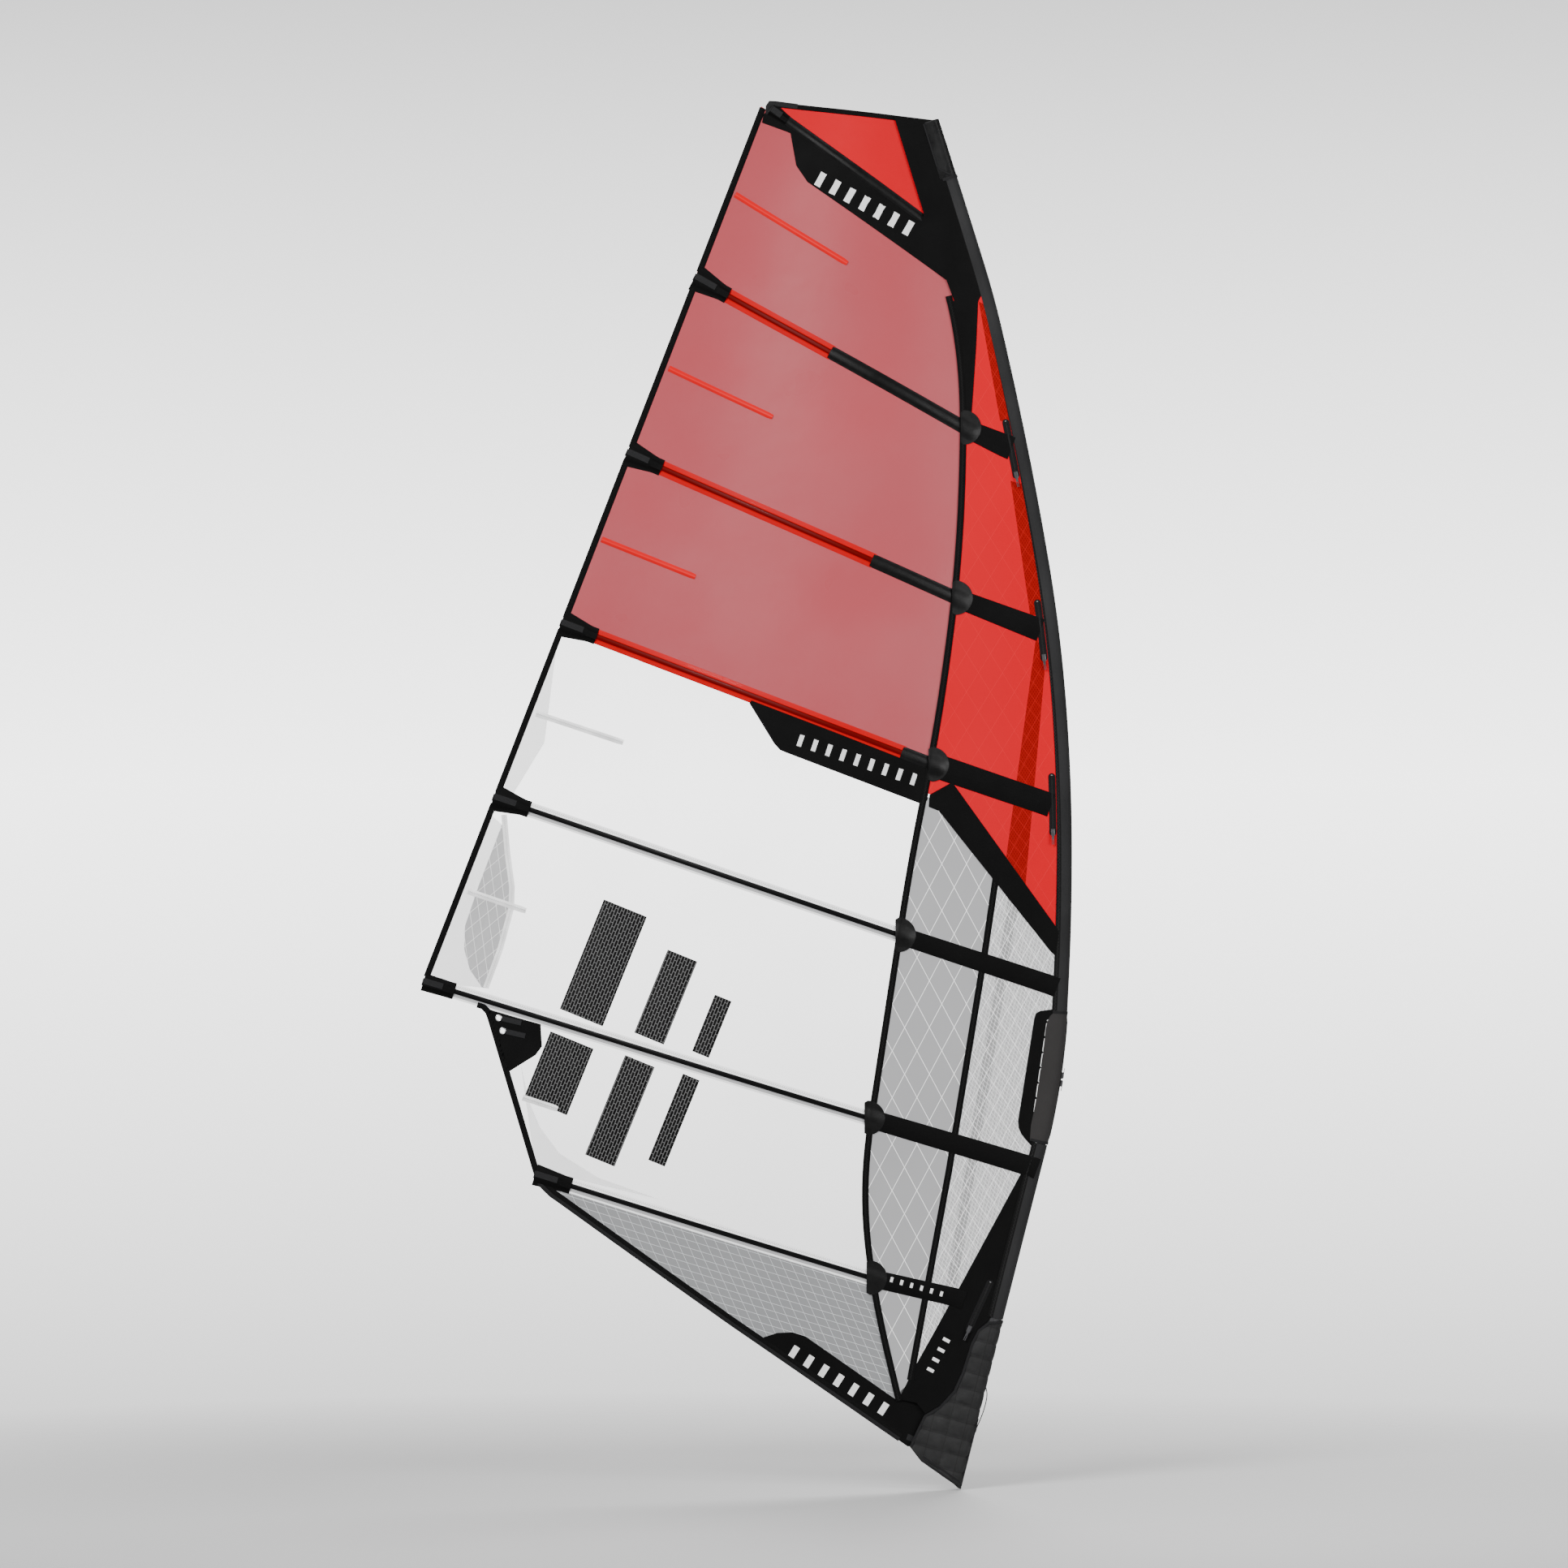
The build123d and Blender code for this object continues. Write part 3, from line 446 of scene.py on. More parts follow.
class Nodes:
    """A node tree in the making."""

    def __init__(self, tree):
        self.tree = tree

    def node(self, kind, **settings):
        made = self.tree.nodes.new("ShaderNode" + kind)
        for key, value in settings.items():
            setattr(made, key, value)
        return made

    def feed(self, socket, value):
        if isinstance(value, bpy.types.NodeSocket):
            self.tree.links.new(value, socket)
        elif isinstance(value, tuple) and len(value) == 3 and socket.type == "RGBA":
            socket.default_value = (*value, 1)
        else:
            socket.default_value = value

    def fill(self, node, *values):
        """Feeds a node's first sockets in their order, and gives its first output."""
        for socket, value in zip(node.inputs, values):
            self.feed(socket, value)
        return node.outputs[0]

    def ranged(self, value, *limits, kind="LINEAR"):
        """A value carried from its first two limits to the other two, or to 0 and 1."""
        return self.fill(self.node("MapRange", interpolation_type=kind), value, *limits)


class Look(Nodes):
    """A node material in the making. Its patterns read the piece's own cloth map, in metres."""

    def __init__(self, name, rough=0.5, sheen=0.0, coat=0.0, metal=0.0, shine=0.5):
        self.material = bpy.data.materials.new(name)
        self.material.use_nodes = True
        super().__init__(self.material.node_tree)
        self.shader = self.tree.nodes["Principled BSDF"]
        amounts = {"Roughness": rough, "Sheen Weight": sheen, "Coat Weight": coat, "Metallic": metal}
        amounts["Specular IOR Level"] = shine
        for socket, value in amounts.items():
            self.shader.inputs[socket].default_value = value
        self.cloth = None

    def math(self, operation, *values):
        return self.fill(self.node("Math", operation=operation), *values)

    def times(self, a, b):
        return self.math("MULTIPLY", a, b)

    def plus(self, a, b):
        return self.math("ADD", a, b)

    def near(self, place, middle, reach):
        """1 where a place is closer than this to the middle."""
        return self.math("LESS_THAN", self.math("ABSOLUTE", self.math("SUBTRACT", place, middle)), reach)

    def on_cloth(self):
        return self.node("UVMap", uv_map="cloth").outputs[0]

    def in_piece(self):
        """The place in the piece's own frame."""
        return self.node("TexCoord").outputs["Object"]

    def split(self, place):
        made = self.node("SeparateXYZ")
        self.fill(made, place)
        return made.outputs

    def along(self, which=0):
        """The cloth map's first coordinate; across() is its second."""
        if self.cloth is None:
            self.cloth = self.split(self.on_cloth())
        return self.cloth[which]

    def across(self):
        return self.along(1)

    def mix(self, share, a, b):
        made = self.node("Mix", data_type="RGBA")
        for index, value in ((0, share), (6, a), (7, b)):
            self.feed(made.inputs[index], value)
        return made.outputs[2]

    def slant(self, degrees, turn=0.0):
        """Distance across lines that climb at this angle on the cloth."""
        a = math.radians(degrees)
        part = self.times(self.along(), -math.sin(a))
        return self.math("MULTIPLY_ADD", self.across(), math.cos(a), self.plus(part, turn))

    def stripes(self, place, spacing, width):
        """1 on thin lines this far apart, 0 between them."""
        return self.math("LESS_THAN", self.math("PINGPONG", place, spacing / 2), width / 2)

    def all_stripes(self, lines):
        """1 on every set of lines, each given as (angle, spacing, width)."""
        return self.either(*[self.stripes(self.slant(angle), gap, width) for angle, gap, width in lines])

    def band(self, place, low, high, soft=0.0015):
        """1 between two places, fading over a short stretch at each."""
        up = self.ranged(place, low - soft, low + soft, kind="SMOOTHSTEP")
        return self.times(up, self.ranged(place, high + soft, high - soft, kind="SMOOTHSTEP"))

    def zigzag(self, middle, swing=0.004, pitch=0.008, width=0.0011):
        """1 on a zigzag stitch that runs along the cloth."""
        wave = self.math("PINGPONG", self.along(), pitch / 2)
        wave = self.math("MULTIPLY_ADD", wave, 2 * swing / pitch, middle - swing / 2)
        return self.near(self.across(), wave, width / 2 * math.hypot(1, 2 * swing / pitch))

    def stitches(self, middle, pitch=0.005, width=0.0012):
        """1 on a straight row of stitches."""
        on = self.math("LESS_THAN", self.math("PINGPONG", self.along(), pitch / 2), pitch * 0.32)
        return self.times(on, self.near(self.across(), middle, width / 2))

    def either(self, *masks):
        total = masks[0]
        for mask in masks[1:]:
            total = self.math("MAXIMUM", total, mask)
        return total

    def noise(self, scale, detail=3.0, low=0.0, high=1.0):
        made = self.node("TexNoise")
        self.feed(made.inputs["Vector"], self.in_piece())
        made.inputs["Scale"].default_value = scale
        made.inputs["Detail"].default_value = detail
        return self.ranged(made.outputs[0], 0.3, 0.7, low, high)

    def weave(self, pitch=0.0016):
        """The height of a plain weave, in the piece's own frame."""
        spot = self.split(self.in_piece())
        return self.times(*[self.math("SINE", self.times(spot[i], 2 * math.pi / pitch)) for i in (0, 2)])

    def bump(self, height, distance=0.0004, strength=0.5):
        made = self.node("Bump")
        made.inputs["Strength"].default_value = strength
        made.inputs["Distance"].default_value = distance
        self.feed(made.inputs["Height"], height)
        self.feed(self.shader.inputs["Normal"], made.outputs[0])

    def finish(self, colour, slot, rough=None, alpha=None):
        for socket, value in (("Base Color", colour), ("Roughness", rough), ("Alpha", alpha)):
            if value is not None:
                self.feed(self.shader.inputs[socket], value)
        return self.material, slot


def tinted(look, colour, spread=0.12, scale=6.0):
    """A colour with slow, slight changes over the piece."""
    return look.mix(look.noise(scale), toned(colour, 1 - spread), colour)


def film_look(name, colour, alpha, slot, lines=(), line_colour=None):
    """Monofilm: clear or tinted, slightly rippled, with any scrim lines given as (angle, spacing, width)."""
    look = Look(name, rough=0.3, shine=0.1)
    base = tinted(look, colour, 0.05, 2.5)
    see = look.noise(3.0, 2.0, alpha - 0.02, alpha + 0.02)
    if lines:
        marks = look.all_stripes(lines)
        base = look.mix(marks, base, line_colour)
        see = look.math("MAXIMUM", see, look.times(marks, min(1.0, alpha + 0.25)))
    look.bump(look.noise(9.0, 2.0), 0.004, 0.12)
    return look.finish(base, slot, look.noise(4.0, 3.0, 0.26, 0.38), see)


def cloth_look(name, colour, slot, rough=0.62, sheen=0.0, pitch=0.0016, spread=0.15):
    """Plain woven sailcloth. The weave's low places are painted darker: painted shade that follows its bump.
    """
    look = Look(name, sheen=sheen, shine=0.06)
    weave = look.weave(pitch)
    # Painted shade: the weave's hollows are painted a fifth darker than its crowns.
    shade = look.mix(look.math("MULTIPLY_ADD", weave, 0.5, 0.5), toned(colour, 0.8), colour)
    base = look.mix(look.noise(7.0, 3.0, 0.0, spread), shade, toned(colour, 1.6, 0.001))
    look.bump(weave, 0.0003, 0.4)
    return look.finish(base, slot, look.noise(12.0, 3.0, rough - 0.06, rough + 0.06))


def tape_look(name, colour, thread, slot, middle=0.0, swing=0.005, pitch=0.009):
    """Sewn tape: a close weave with a zigzag stitch along it."""
    look = Look(name, rough=0.55, shine=0.06)
    marks = look.zigzag(middle, swing, pitch)
    base = look.mix(marks, tinted(look, colour, 0.25, 20.0), thread)
    look.bump(look.plus(look.weave(0.0012), look.times(marks, 3.0)), 0.0003, 0.5)
    return look.finish(base, slot)


def pocket_look(name, edge, middle, slot, half=0.008, thread=None, lower=None):
    """A batten pocket: its flaps, the batten's line down its middle, and the stitches each side of it."""
    look = Look(name, rough=0.4, coat=0.03, shine=0.06)
    side = look.across()
    batten = look.band(side, -half, half, 0.0012)
    flaps = tinted(look, edge, 0.08, 15.0)
    if lower:
        flaps = look.mix(look.band(side, half, 0.0165, 0.0006), flaps, lower)
    base = look.mix(batten, flaps, middle)
    seam = look.zigzag(-0.0145, 0.006, 0.007)
    if thread:
        base = look.mix(look.either(seam, look.zigzag(0.0125, 0.004, 0.005)), base, thread)
    look.bump(look.either(seam, look.stitches(0.0195)), 0.0004, 0.5)
    return look.finish(base, slot)


def webbing_look(name, colour, slot, rib=0.003):
    """Ribbed webbing: ribs run across it, with a fine weave on each. The grooves between ribs are painted
    darker: painted shade.
    """
    look = Look(name, rough=0.6, sheen=0.02, shine=0.1)
    ribs = look.times(look.math("PINGPONG", look.along(), rib / 2), 2 / rib)
    look.bump(look.plus(ribs, look.times(look.weave(0.001), 0.3)), 0.0008, 0.7)
    # Painted shade: each rib's colour darkens to about a third in its groove.
    return look.finish(look.mix(ribs, toned(colour, 0.35), colour), slot)


def scrim_look(name, film, line, slot, lines, mesh=0.0, painted_shadow_line=None):
    """Reinforced laminate: load lines, and a fine mesh between them where mesh is its pitch. The shadow line,
    given as (angle, turn, width), paints a soft darker band: a painted shadow.
    """
    look = Look(name, rough=0.4, shine=0.06)
    base = tinted(look, film, 0.06, 3.0)
    if mesh:
        dots = look.times(*[look.math("PINGPONG", look.slant(angle), mesh) for angle in (58, -58)])
        base = look.mix(look.times(dots, 0.9 / mesh ** 2), base, toned(film, 0.42))
    if painted_shadow_line:
        # A painted shadow: a soft band darkened to about a third of the laminate's colour.
        angle, turn, width = painted_shadow_line
        shadow = look.band(look.slant(angle, turn), -width / 2, width / 2, 0.004)
        base = look.mix(look.times(shadow, 0.6), base, toned(film, 0.3))
    marks = look.all_stripes(lines)
    look.bump(marks, 0.0003, 0.5)
    return look.finish(look.mix(marks, base, line), slot)


def carbon_look():
    """Satin carbon tube with its twill just showing."""
    look = Look("carbon_twill", rough=0.32, coat=0.3, shine=0.3)
    x, y, z = look.split(look.in_piece())
    twill = look.times(*[
        look.math("SINE", look.times(way, 1500)) for way in (look.plus(z, x), look.math("SUBTRACT", z, y))
    ])
    base = look.mix(look.math("GREATER_THAN", twill, 0.0), grey(0.012, 0.013), grey(0.03, 0.032))
    look.bump(twill, 0.0002, 0.25)
    return look.finish(base, "carbon", look.noise(30.0, 3.0, 0.26, 0.4))


def plastic_look(name, colour, slot, rough=0.5, grain=900.0):
    """Moulded plastic with a fine spark-eroded grain and slight wear."""
    look = Look(name, shine=0.3)
    base = look.mix(look.noise(40.0, 4.0, 0.0, 0.35), colour, toned(colour, 1.7, 0.004))
    look.bump(look.noise(grain, 2.0), 0.00015, 0.4)
    return look.finish(base, slot, look.noise(25.0, 3.0, rough - 0.1, rough + 0.1))


def metal_look(name, colour, slot, rough=0.25):
    """Metal with fine turning marks and small scratches."""
    look = Look(name, metal=1.0)
    spot = look.node("Mapping")
    look.fill(spot, look.in_piece())
    spot.inputs["Scale"].default_value = (40, 900, 40)
    brush = look.node("TexNoise")
    look.fill(brush, spot.outputs[0])
    look.bump(brush.outputs[0], 0.0001, 0.3)
    base = look.mix(look.noise(60.0), toned(colour, 0.8), colour)
    return look.finish(base, slot, look.noise(50.0, 4.0, rough - 0.06, rough + 0.12))


def nose_look():
    """The luff's front cloth: charcoal, with black sewn bands down its two edges."""
    look = Look("nose_cloth", rough=0.5, shine=0.08)
    off = look.math("ABSOLUTE", look.across())
    front = look.mix(look.noise(5.0, 2.0), grey(0.012, 0.0125), grey(0.018, 0.0187))
    base = look.mix(look.band(off, 0.0505, 0.09, 0.0008), front, grey(0.0016))
    wave = look.math("MULTIPLY_ADD", look.math("PINGPONG", look.along(), 0.005), 1.0, 0.0545)
    marks = look.near(off, wave, 0.0008)
    look.bump(look.plus(look.weave(0.0014), look.times(marks, 2.0)), 0.0003, 0.4)
    base = look.mix(marks, base, grey(0.016))
    return look.finish(base, "luff_cloth", look.noise(9.0, 3.0, 0.42, 0.56))


def stripe_look():
    """Dark woven stripes for the window: a plain basket pattern of short bars."""
    look = Look("window_stripe", rough=0.45, shine=0.06)
    brick = look.node("TexBrick", offset=0.5, squash=1.0)
    look.fill(brick, look.on_cloth(), grey(0.002), grey(0.006), grey(0.12), 1.0, 0.0009)
    brick.inputs["Brick Width"].default_value = 0.022
    brick.inputs["Row Height"].default_value = 0.009
    look.bump(brick.outputs["Fac"], 0.0003, 0.4)
    return look.finish(brick.outputs["Color"], "black_cloth")


def quilt_look():
    """Black quilted neoprene laminate, a little dusty, with painted shade darkening its sewn channels."""
    look = Look("quilted_neoprene", shine=0.22)
    lines = look.either(*[look.stripes(way, 0.05, 0.0022) for way in (look.along(), look.across())])
    dusty = look.mix(look.noise(22.0, 5.0), grey(0.002, 0.0021), grey(0.0085, 0.0088))
    look.bump(look.plus(look.noise(55.0, 4.0), look.times(look.weave(0.0018), 0.3)), 0.0009, 0.5)
    # Painted shade: the sewn channels between the puffs are painted near black.
    base = look.mix(lines, dusty, grey(0.0006))
    return look.finish(base, "neoprene", look.noise(18.0, 4.0, 0.42, 0.66))


def gloss_look(name, colour, slot, rough=0.3):
    """Coated cloth with a soft shine, scuffed in places."""
    look = Look(name, coat=0.02, shine=0.14)
    base = look.mix(look.noise(70.0, 5.0, 0.0, 0.4), colour, toned(colour, 1.8, 0.003))
    look.bump(look.plus(look.noise(35.0, 4.0), look.times(look.weave(0.0014), 0.2)), 0.0006, 0.3)
    return look.finish(base, slot, look.noise(20.0, 3.0, rough - 0.06, rough + 0.14))


DEEP_RED, WHITE, BLACK, SCRIM_LINE = (0.48, 0.0, 0.008), grey(0.95), grey(0.0014), grey(0.86)

RED_FILM = film_look("red_monofilm", (0.33, 0.045, 0.055), 0.88, "red_film")
CLEAR_FILM = film_look("clear_monofilm", (0.82, 0.83, 0.84), 0.07, "clear_film")
FOOT_FILM = film_look("foot_scrim", (0.20, 0.205, 0.21), 0.8, "grey_scrim",
                      ((-16.9, 0.022, 0.0012), (-66, 0.026, 0.001)), (0.50, 0.51, 0.52))
XPLY = film_look("leech_xply", grey(0.32, 0.325), 0.7, "grey_scrim",
                 ((40, 0.034, 0.0013), (-82, 0.027, 0.0013)), grey(0.8))
WHITE_FILM = film_look("white_film", grey(0.88), 0.45, "clear_film")
HEAD_RED = cloth_look("head_red_cloth", DEEP_RED, "sleeve_cloth", 0.45, 0.0, 0.0022, 0.05)
SLEEVE_RED = scrim_look("sleeve_red_scrim", DEEP_RED, (0.54, 0.006, 0.014), "sleeve_cloth",
                        ((58, 0.0615, 0.0012), (-58, 0.0615, 0.0012)))
SLEEVE_RED_DARK = scrim_look("sleeve_red_mesh", (0.24, 0.001, 0.001), (0.32, 0.004, 0.004), "sleeve_cloth",
                             ((62, 0.03, 0.0014), (-50, 0.03, 0.0014)), mesh=0.0035)
SLEEVE_GREY = scrim_look("sleeve_grey_scrim", grey(0.30, 0.305), SCRIM_LINE, "sleeve_cloth",
                         ((62, 0.066, 0.0017), (-62, 0.066, 0.0017)))
MESH_LINES = (62, 0.034, 0.0014), (-56, 0.040, 0.0014), (76, 0.011, 0.0008), (-44, 0.011, 0.0008)
# The grey mesh cell carries a painted shadow, a darker band running down it.
SLEEVE_MESH = scrim_look("sleeve_grey_mesh", grey(0.46, 0.465), SCRIM_LINE, "sleeve_cloth", MESH_LINES,
                         mesh=0.0038, painted_shadow_line=(80.9, -0.109, 0.032))
BLACK_CLOTH = cloth_look("black_sailcloth", BLACK, "black_cloth")
BLACK_TAPE = tape_look("black_seam_tape", BLACK, grey(0.012), "black_cloth")
EDGE_TAPE = tape_look("black_edge_tape", BLACK, grey(0.007), "black_cloth", 0.004, 0.002, 0.006)
WHITE_TAPE = tape_look("white_tape", WHITE, grey(0.5), "pocket_cloth", 0.0, 0.004, 0.007)
POCKET_RED = pocket_look("red_pocket", (0.40, 0.0, 0.003), (0.085, 0.0, 0.0), "pocket_cloth")
POCKET_WHITE = pocket_look("white_pocket", WHITE, grey(0.0025, 0.0026), "pocket_cloth",
                           thread=grey(0.42), lower=grey(0.30, 0.31))
POCKET_BLACK = gloss_look("black_pocket", grey(0.002), "black_cloth", 0.34)
MINI_RED = pocket_look("red_leech_pocket", (0.50, 0.0, 0.004), (0.55, 0.01, 0.014), "pocket_cloth", 0.0012)
MINI_WHITE = tape_look("white_leech_pocket", WHITE, grey(0.3), "pocket_cloth", 0.0, 0.004, 0.006)
WEBBING = webbing_look("black_webbing", grey(0.018, 0.019), "webbing")
NOSE_CLOTH = nose_look()
COVER_CLOTH = cloth_look("stretch_cover", (0.024, 0.0228, 0.0226), "cover_cloth", 0.55, 0.02, 0.0013)
PIPING = cloth_look("piping_cloth", grey(0.010, 0.0105), "black_cloth", 0.5, 0.02, 0.0012)
HEAD_GLOSS = gloss_look("head_cap_cloth", grey(0.003, 0.0031), "black_cloth")
QUILT = quilt_look()
STRIPES = stripe_look()
MARKER = cloth_look("height_marks", grey(0.72), "pocket_cloth", 0.5, 0.0, 0.0012)
ZIP_TAPE = cloth_look("zip_tape", grey(0.006, 0.0062), "zip_tape", 0.6, 0.0, 0.0011)
ZIP_COIL = plastic_look("zip_coil", grey(0.009, 0.0092), "zip_tape", 0.35)
ZIP_METAL = metal_look("coated_zinc", grey(0.10, 0.105), "zip_metal", 0.34)
STEEL = metal_look("polished_steel", grey(0.72, 0.73), "steel", 0.18)
CARBON = carbon_look()
ROD = plastic_look("batten_rod", grey(0.004, 0.0042), "batten_rod", 0.3)
MOULDED = plastic_look("moulded_black", grey(0.005, 0.0052), "moulded_black", 0.5)
ACETAL = plastic_look("acetal", grey(0.03, 0.032), "sheave_plastic", 0.35)
BUNGEE_LOOK = plastic_look("bungee_braid", grey(0.008, 0.0084), "bungee_cord", 0.6, 1500.0)


# ---- film body ----

def front_point(k, offset):
    """Where a pocket's edge meets the forward edge of the film, inside the sleeve."""
    x = BATTENS[k][0] + SEAM_LAP
    return x, batten_z(k, x, offset)


def film_outline(k):
    """The film between battens k and k + 1. The lowest one stops inside the clew's patch."""
    above, below = -pocket_width(k) / 2 + POCKET_LAP, pocket_width(k + 1) / 2 - POCKET_LAP
    top, bottom = front_point(k, above), front_point(k + 1, below)
    aft = [leech_point(k + 1, below, 2), leech_point(k, above, 2)]
    if k == 6:
        aft = [(-1290, batten_z(7, -1290, below)), (-1298, 760), (-1366, 1000), (-1385, 1058), (-1300, 1105)]
        aft.append((-1290, batten_z(6, -1290, above)))
    run = [(x + SEAM_LAP, z) for z, x in SEAM[::-1] if bottom[1] < z < top[1]]
    return aft + [top] + run + [bottom]


def declare_sheet(outline):
    """Finds the smallest rectangle that a cut sheet's outline fits in, and does nothing further with it."""
    area = 0.5 * abs(sum(a[0] * b[1] - b[0] * a[1] for a, b in zip(outline, outline[1:] + outline[:1])))
    best = None
    for degrees in range(0, 90, 3):
        c, s = math.cos(math.radians(degrees)), math.sin(math.radians(degrees))
        us, vs = [x * c + z * s for x, z in outline], [z * c - x * s for x, z in outline]
        size = (max(us) - min(us), max(vs) - min(vs))
        if best is None or size[0] * size[1] < best[0] * best[1]:
            best = size


def make_film():
    for k in range(1, 7):
        look = RED_FILM if k < 4 else CLEAR_FILM
        piece = panel(f"film_{k}", film_outline(k), look, 0, FILM / 2 - 0.1)
        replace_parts(piece, "red_film_panels" if k < 4 else "window_panels")
        declare_sheet(film_outline(k))
    above = pocket_width(1) / 2 - POCKET_LAP
    head = [(-586, 3980), (-165, 3934), (-135, 3800), (-112, batten_z(1, -112, above))]
    head.append((-580, batten_z(1, -580, above)))
    piece = panel("head_film", head, HEAD_RED, 0, FILM / 2)
    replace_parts(piece, "head_panel")
    declare_sheet(head)
    below = -pocket_width(7) / 2 + POCKET_LAP
    foot = [(-1270, batten_z(7, -1270, below)), front_point(7, below), (-184, 92), (-112, 62), (-97, 25)]
    foot += [(-118, -70), (-177, -72), (-251, -20), (-711, 299), (-1222, 666)]
    piece = panel("foot_film", foot, FOOT_FILM, 0, FILM / 2)
    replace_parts(piece, "foot_panel")
    declare_sheet(foot)


def make_window_trim():
    """The reinforcements on the clear film near the leech and the clew."""
    curve = [(-1395, 1835), (-1385, 1722), (-1371, 1617), (-1373, 1553), (-1407, 1428), (-1450, 1312)]
    edge = [(-1461, 1313), (-1498, 1367), (-1515, 1428), (-1513, 1499), (-1473, 1617), (-1401, 1805)]
    panel("leech_xply", curve + edge, XPLY, 0, 1.0)
    leech = [(leech_x(z) + 12, z) for z in (1835, 1700, 1500, 1328)]
    panel("leech_white_patch", edge + leech, WHITE_FILM, 0, 0.95)
    ribbon("leech_xply_tape", curve, both_faces(flat_section(17, 0.8, 1.5)), WHITE_TAPE)
    upper = [leech_point(4, -60, 12), (leech_x(2080) + 80, 2052), (leech_x(1940) + 66, 1940)]
    upper += [(leech_x(1850) + 46, 1850), (leech_x(1842) + 12, 1842)]
    panel("leech_upper_patch", upper, WHITE_FILM, 0, 0.95)
    lower = [(-1345, 1087), (-1317, 965), (-1285, 891), (-1228, 815), (-1111, 742), (-922, 676)]
    lower += [(-1285, batten_z(7, -1285, 16)), (-1300, 775)]
    panel("clew_corner_patch", lower, WHITE_FILM, 0, 0.95)


def make_window_stripes():
    """A plain graphic of three slanted bands, broken where the sixth batten crosses them."""
    lean_in = math.tan(math.radians(22))
    bands = ((-1175, 140, 330, 200), (-970, 96, 250, 300), (-815, 54, 170, 260))
    for number, (x, width, high, low) in enumerate(bands, 1):
        z = batten_z(6, x)
        section = both_faces(flat_section(width, 0.75, 1.15, 0.8))
        for word, near, far in (("upper", 34, 34 + high), ("lower", -34, -34 - low)):
            path = [(x + rise * lean_in, z + rise) for rise in (far, near)]
            ribbon(f"stripe_{number}_{word}", path, section, STRIPES)


def make_black_patches():
    """The black reinforcements of head, batten, foot and tack."""
    head = [(-616, 3922), (-541, 3895), (-530, 3890), (-513, 3793), (-479, 3743)]
    head += [(-60, 3448), (-35, 3381), (-19, 3265), (4, 3290), (38, 3388)] + mast_points(3420, 3900)
    head += [(-110, 3931), (-218, 3941), (-129, 3650), (-129, batten_z(1, -129, 8))]
    head += [(-590, batten_z(1, -590, 8)), (-612, 3945)]
    middle = [(-654, 2171), (-580, 2050), (-562, 2030), (-541, 2021), (-133, 1866), (-118, 1880)]
    middle += [(-108, 1970)] + [(x, batten_z(4, x, -14)) for x in (-400, -648)]
    foot = [(-620, 240), (-611, 259), (-570, 272), (-524, 274), (-486, 262), (-207, 66), (-184, 92)]
    foot += [(-150, 78), (-112, 62), (-97, 25), (-118, -70), (-177, -72), (-251, -20), (-430, 104)]
    for word, side in SIDES.items():
        patch(f"head_patch_{word}", head, BLACK_CLOTH, side, 0.2, 1.3)
        patch(f"middle_patch_{word}", middle, BLACK_CLOTH, side, 0.1, 1.0)
        panel(f"foot_patch_{word}", foot, BLACK_CLOTH, FILM / 2 + 0.1, FILM / 2 + 1.0, side, size=20.0)


# ---- battens, pockets and tapes ----

def tube_section(width, tube, height, flap=0.95):
    """A pocket's section: two thin flaps and a round tube over the batten."""
    half = width / 2
    side = [(half, flap), (half - 1.2, flap + 0.5), (tube + 3.5, flap + 0.6), (tube + 1, height * 0.45),
            (tube * 0.75, height * 0.8), (tube * 0.4, height * 0.97)]
    section = [(-v, -h, h) for v, h in side] + [(0, -height, height)]
    return section + [(v, -h, h) for v, h in side[::-1]]


def make_pockets():
    """A pocket over each batten; three of them have a stouter black front part."""
    fronts = {2: -405, 3: -280, 4: -190}
    for k in BATTENS:
        end_x, width = BATTENS[k][0] + 6, pocket_width(k)
        look = POCKET_BLACK if k == 1 else POCKET_RED if k in fronts else POCKET_WHITE
        stop = fronts.get(k, end_x)
        path = [batten_point(k, 30), (stop, batten_z(k, stop))]
        piece = ribbon(f"pocket_{k}", path, tube_section(width, 9.0, 5.2), look, spacing=24.0)
        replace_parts(piece, "batten_pockets")
        if k in fronts:
            path = [(x, batten_z(k, x)) for x in (stop - 6, end_x)]
            front = tube_section(width - 4, 13.0, 6.0, 1.0)
            ribbon(f"pocket_front_{k}", path, front, POCKET_BLACK, spacing=24.0)


def make_batten_ends():
    """At each batten's leech end: a black patch on both faces over the tensioner, and a webbing tab."""
    for k in BATTENS:
        wide = {1: 50.0, 6: 54.0, 7: 66.0}.get(k, 84.0)
        narrow = 36.0 if k == 1 else 50.0
        length = {1: 60.0, 6: 100.0}.get(k, 116.0)
        shape = [(1, 0.9, 1.7), (0.8, 1.0, 2.0), (0.55, 3.4, 4.8), (0.36, 7.5, 8.7), (0.0, 7.7, 9.0)]
        section = [(-w * wide / 2, low, high) for w, low, high in shape]
        section += [(w * wide / 2, low, high) for w, low, high in shape[:-1][::-1]]
        shrink = narrow / wide
        path = [batten_point(k, 1), batten_point(k, length)]
        tab = [batten_point(k, 2), batten_point(k, length * 0.62)]
        for word, side in SIDES.items():
            ribbon(f"end_patch_{k}_{word}", path, section, BLACK_CLOTH, side, half=no_half,
                   taper=lambda share: 1 - (1 - shrink) * min(1.0, share * 1.25), spacing=10.0)
            strip = [(v - 4, 8.7, 9.9 + 0.6 * (v == 0)) for v in (-9, -7, 0, 7, 9)]
            ribbon(f"end_tab_{k}_{word}", tab, strip, WEBBING, side, half=no_half, spacing=8.0)


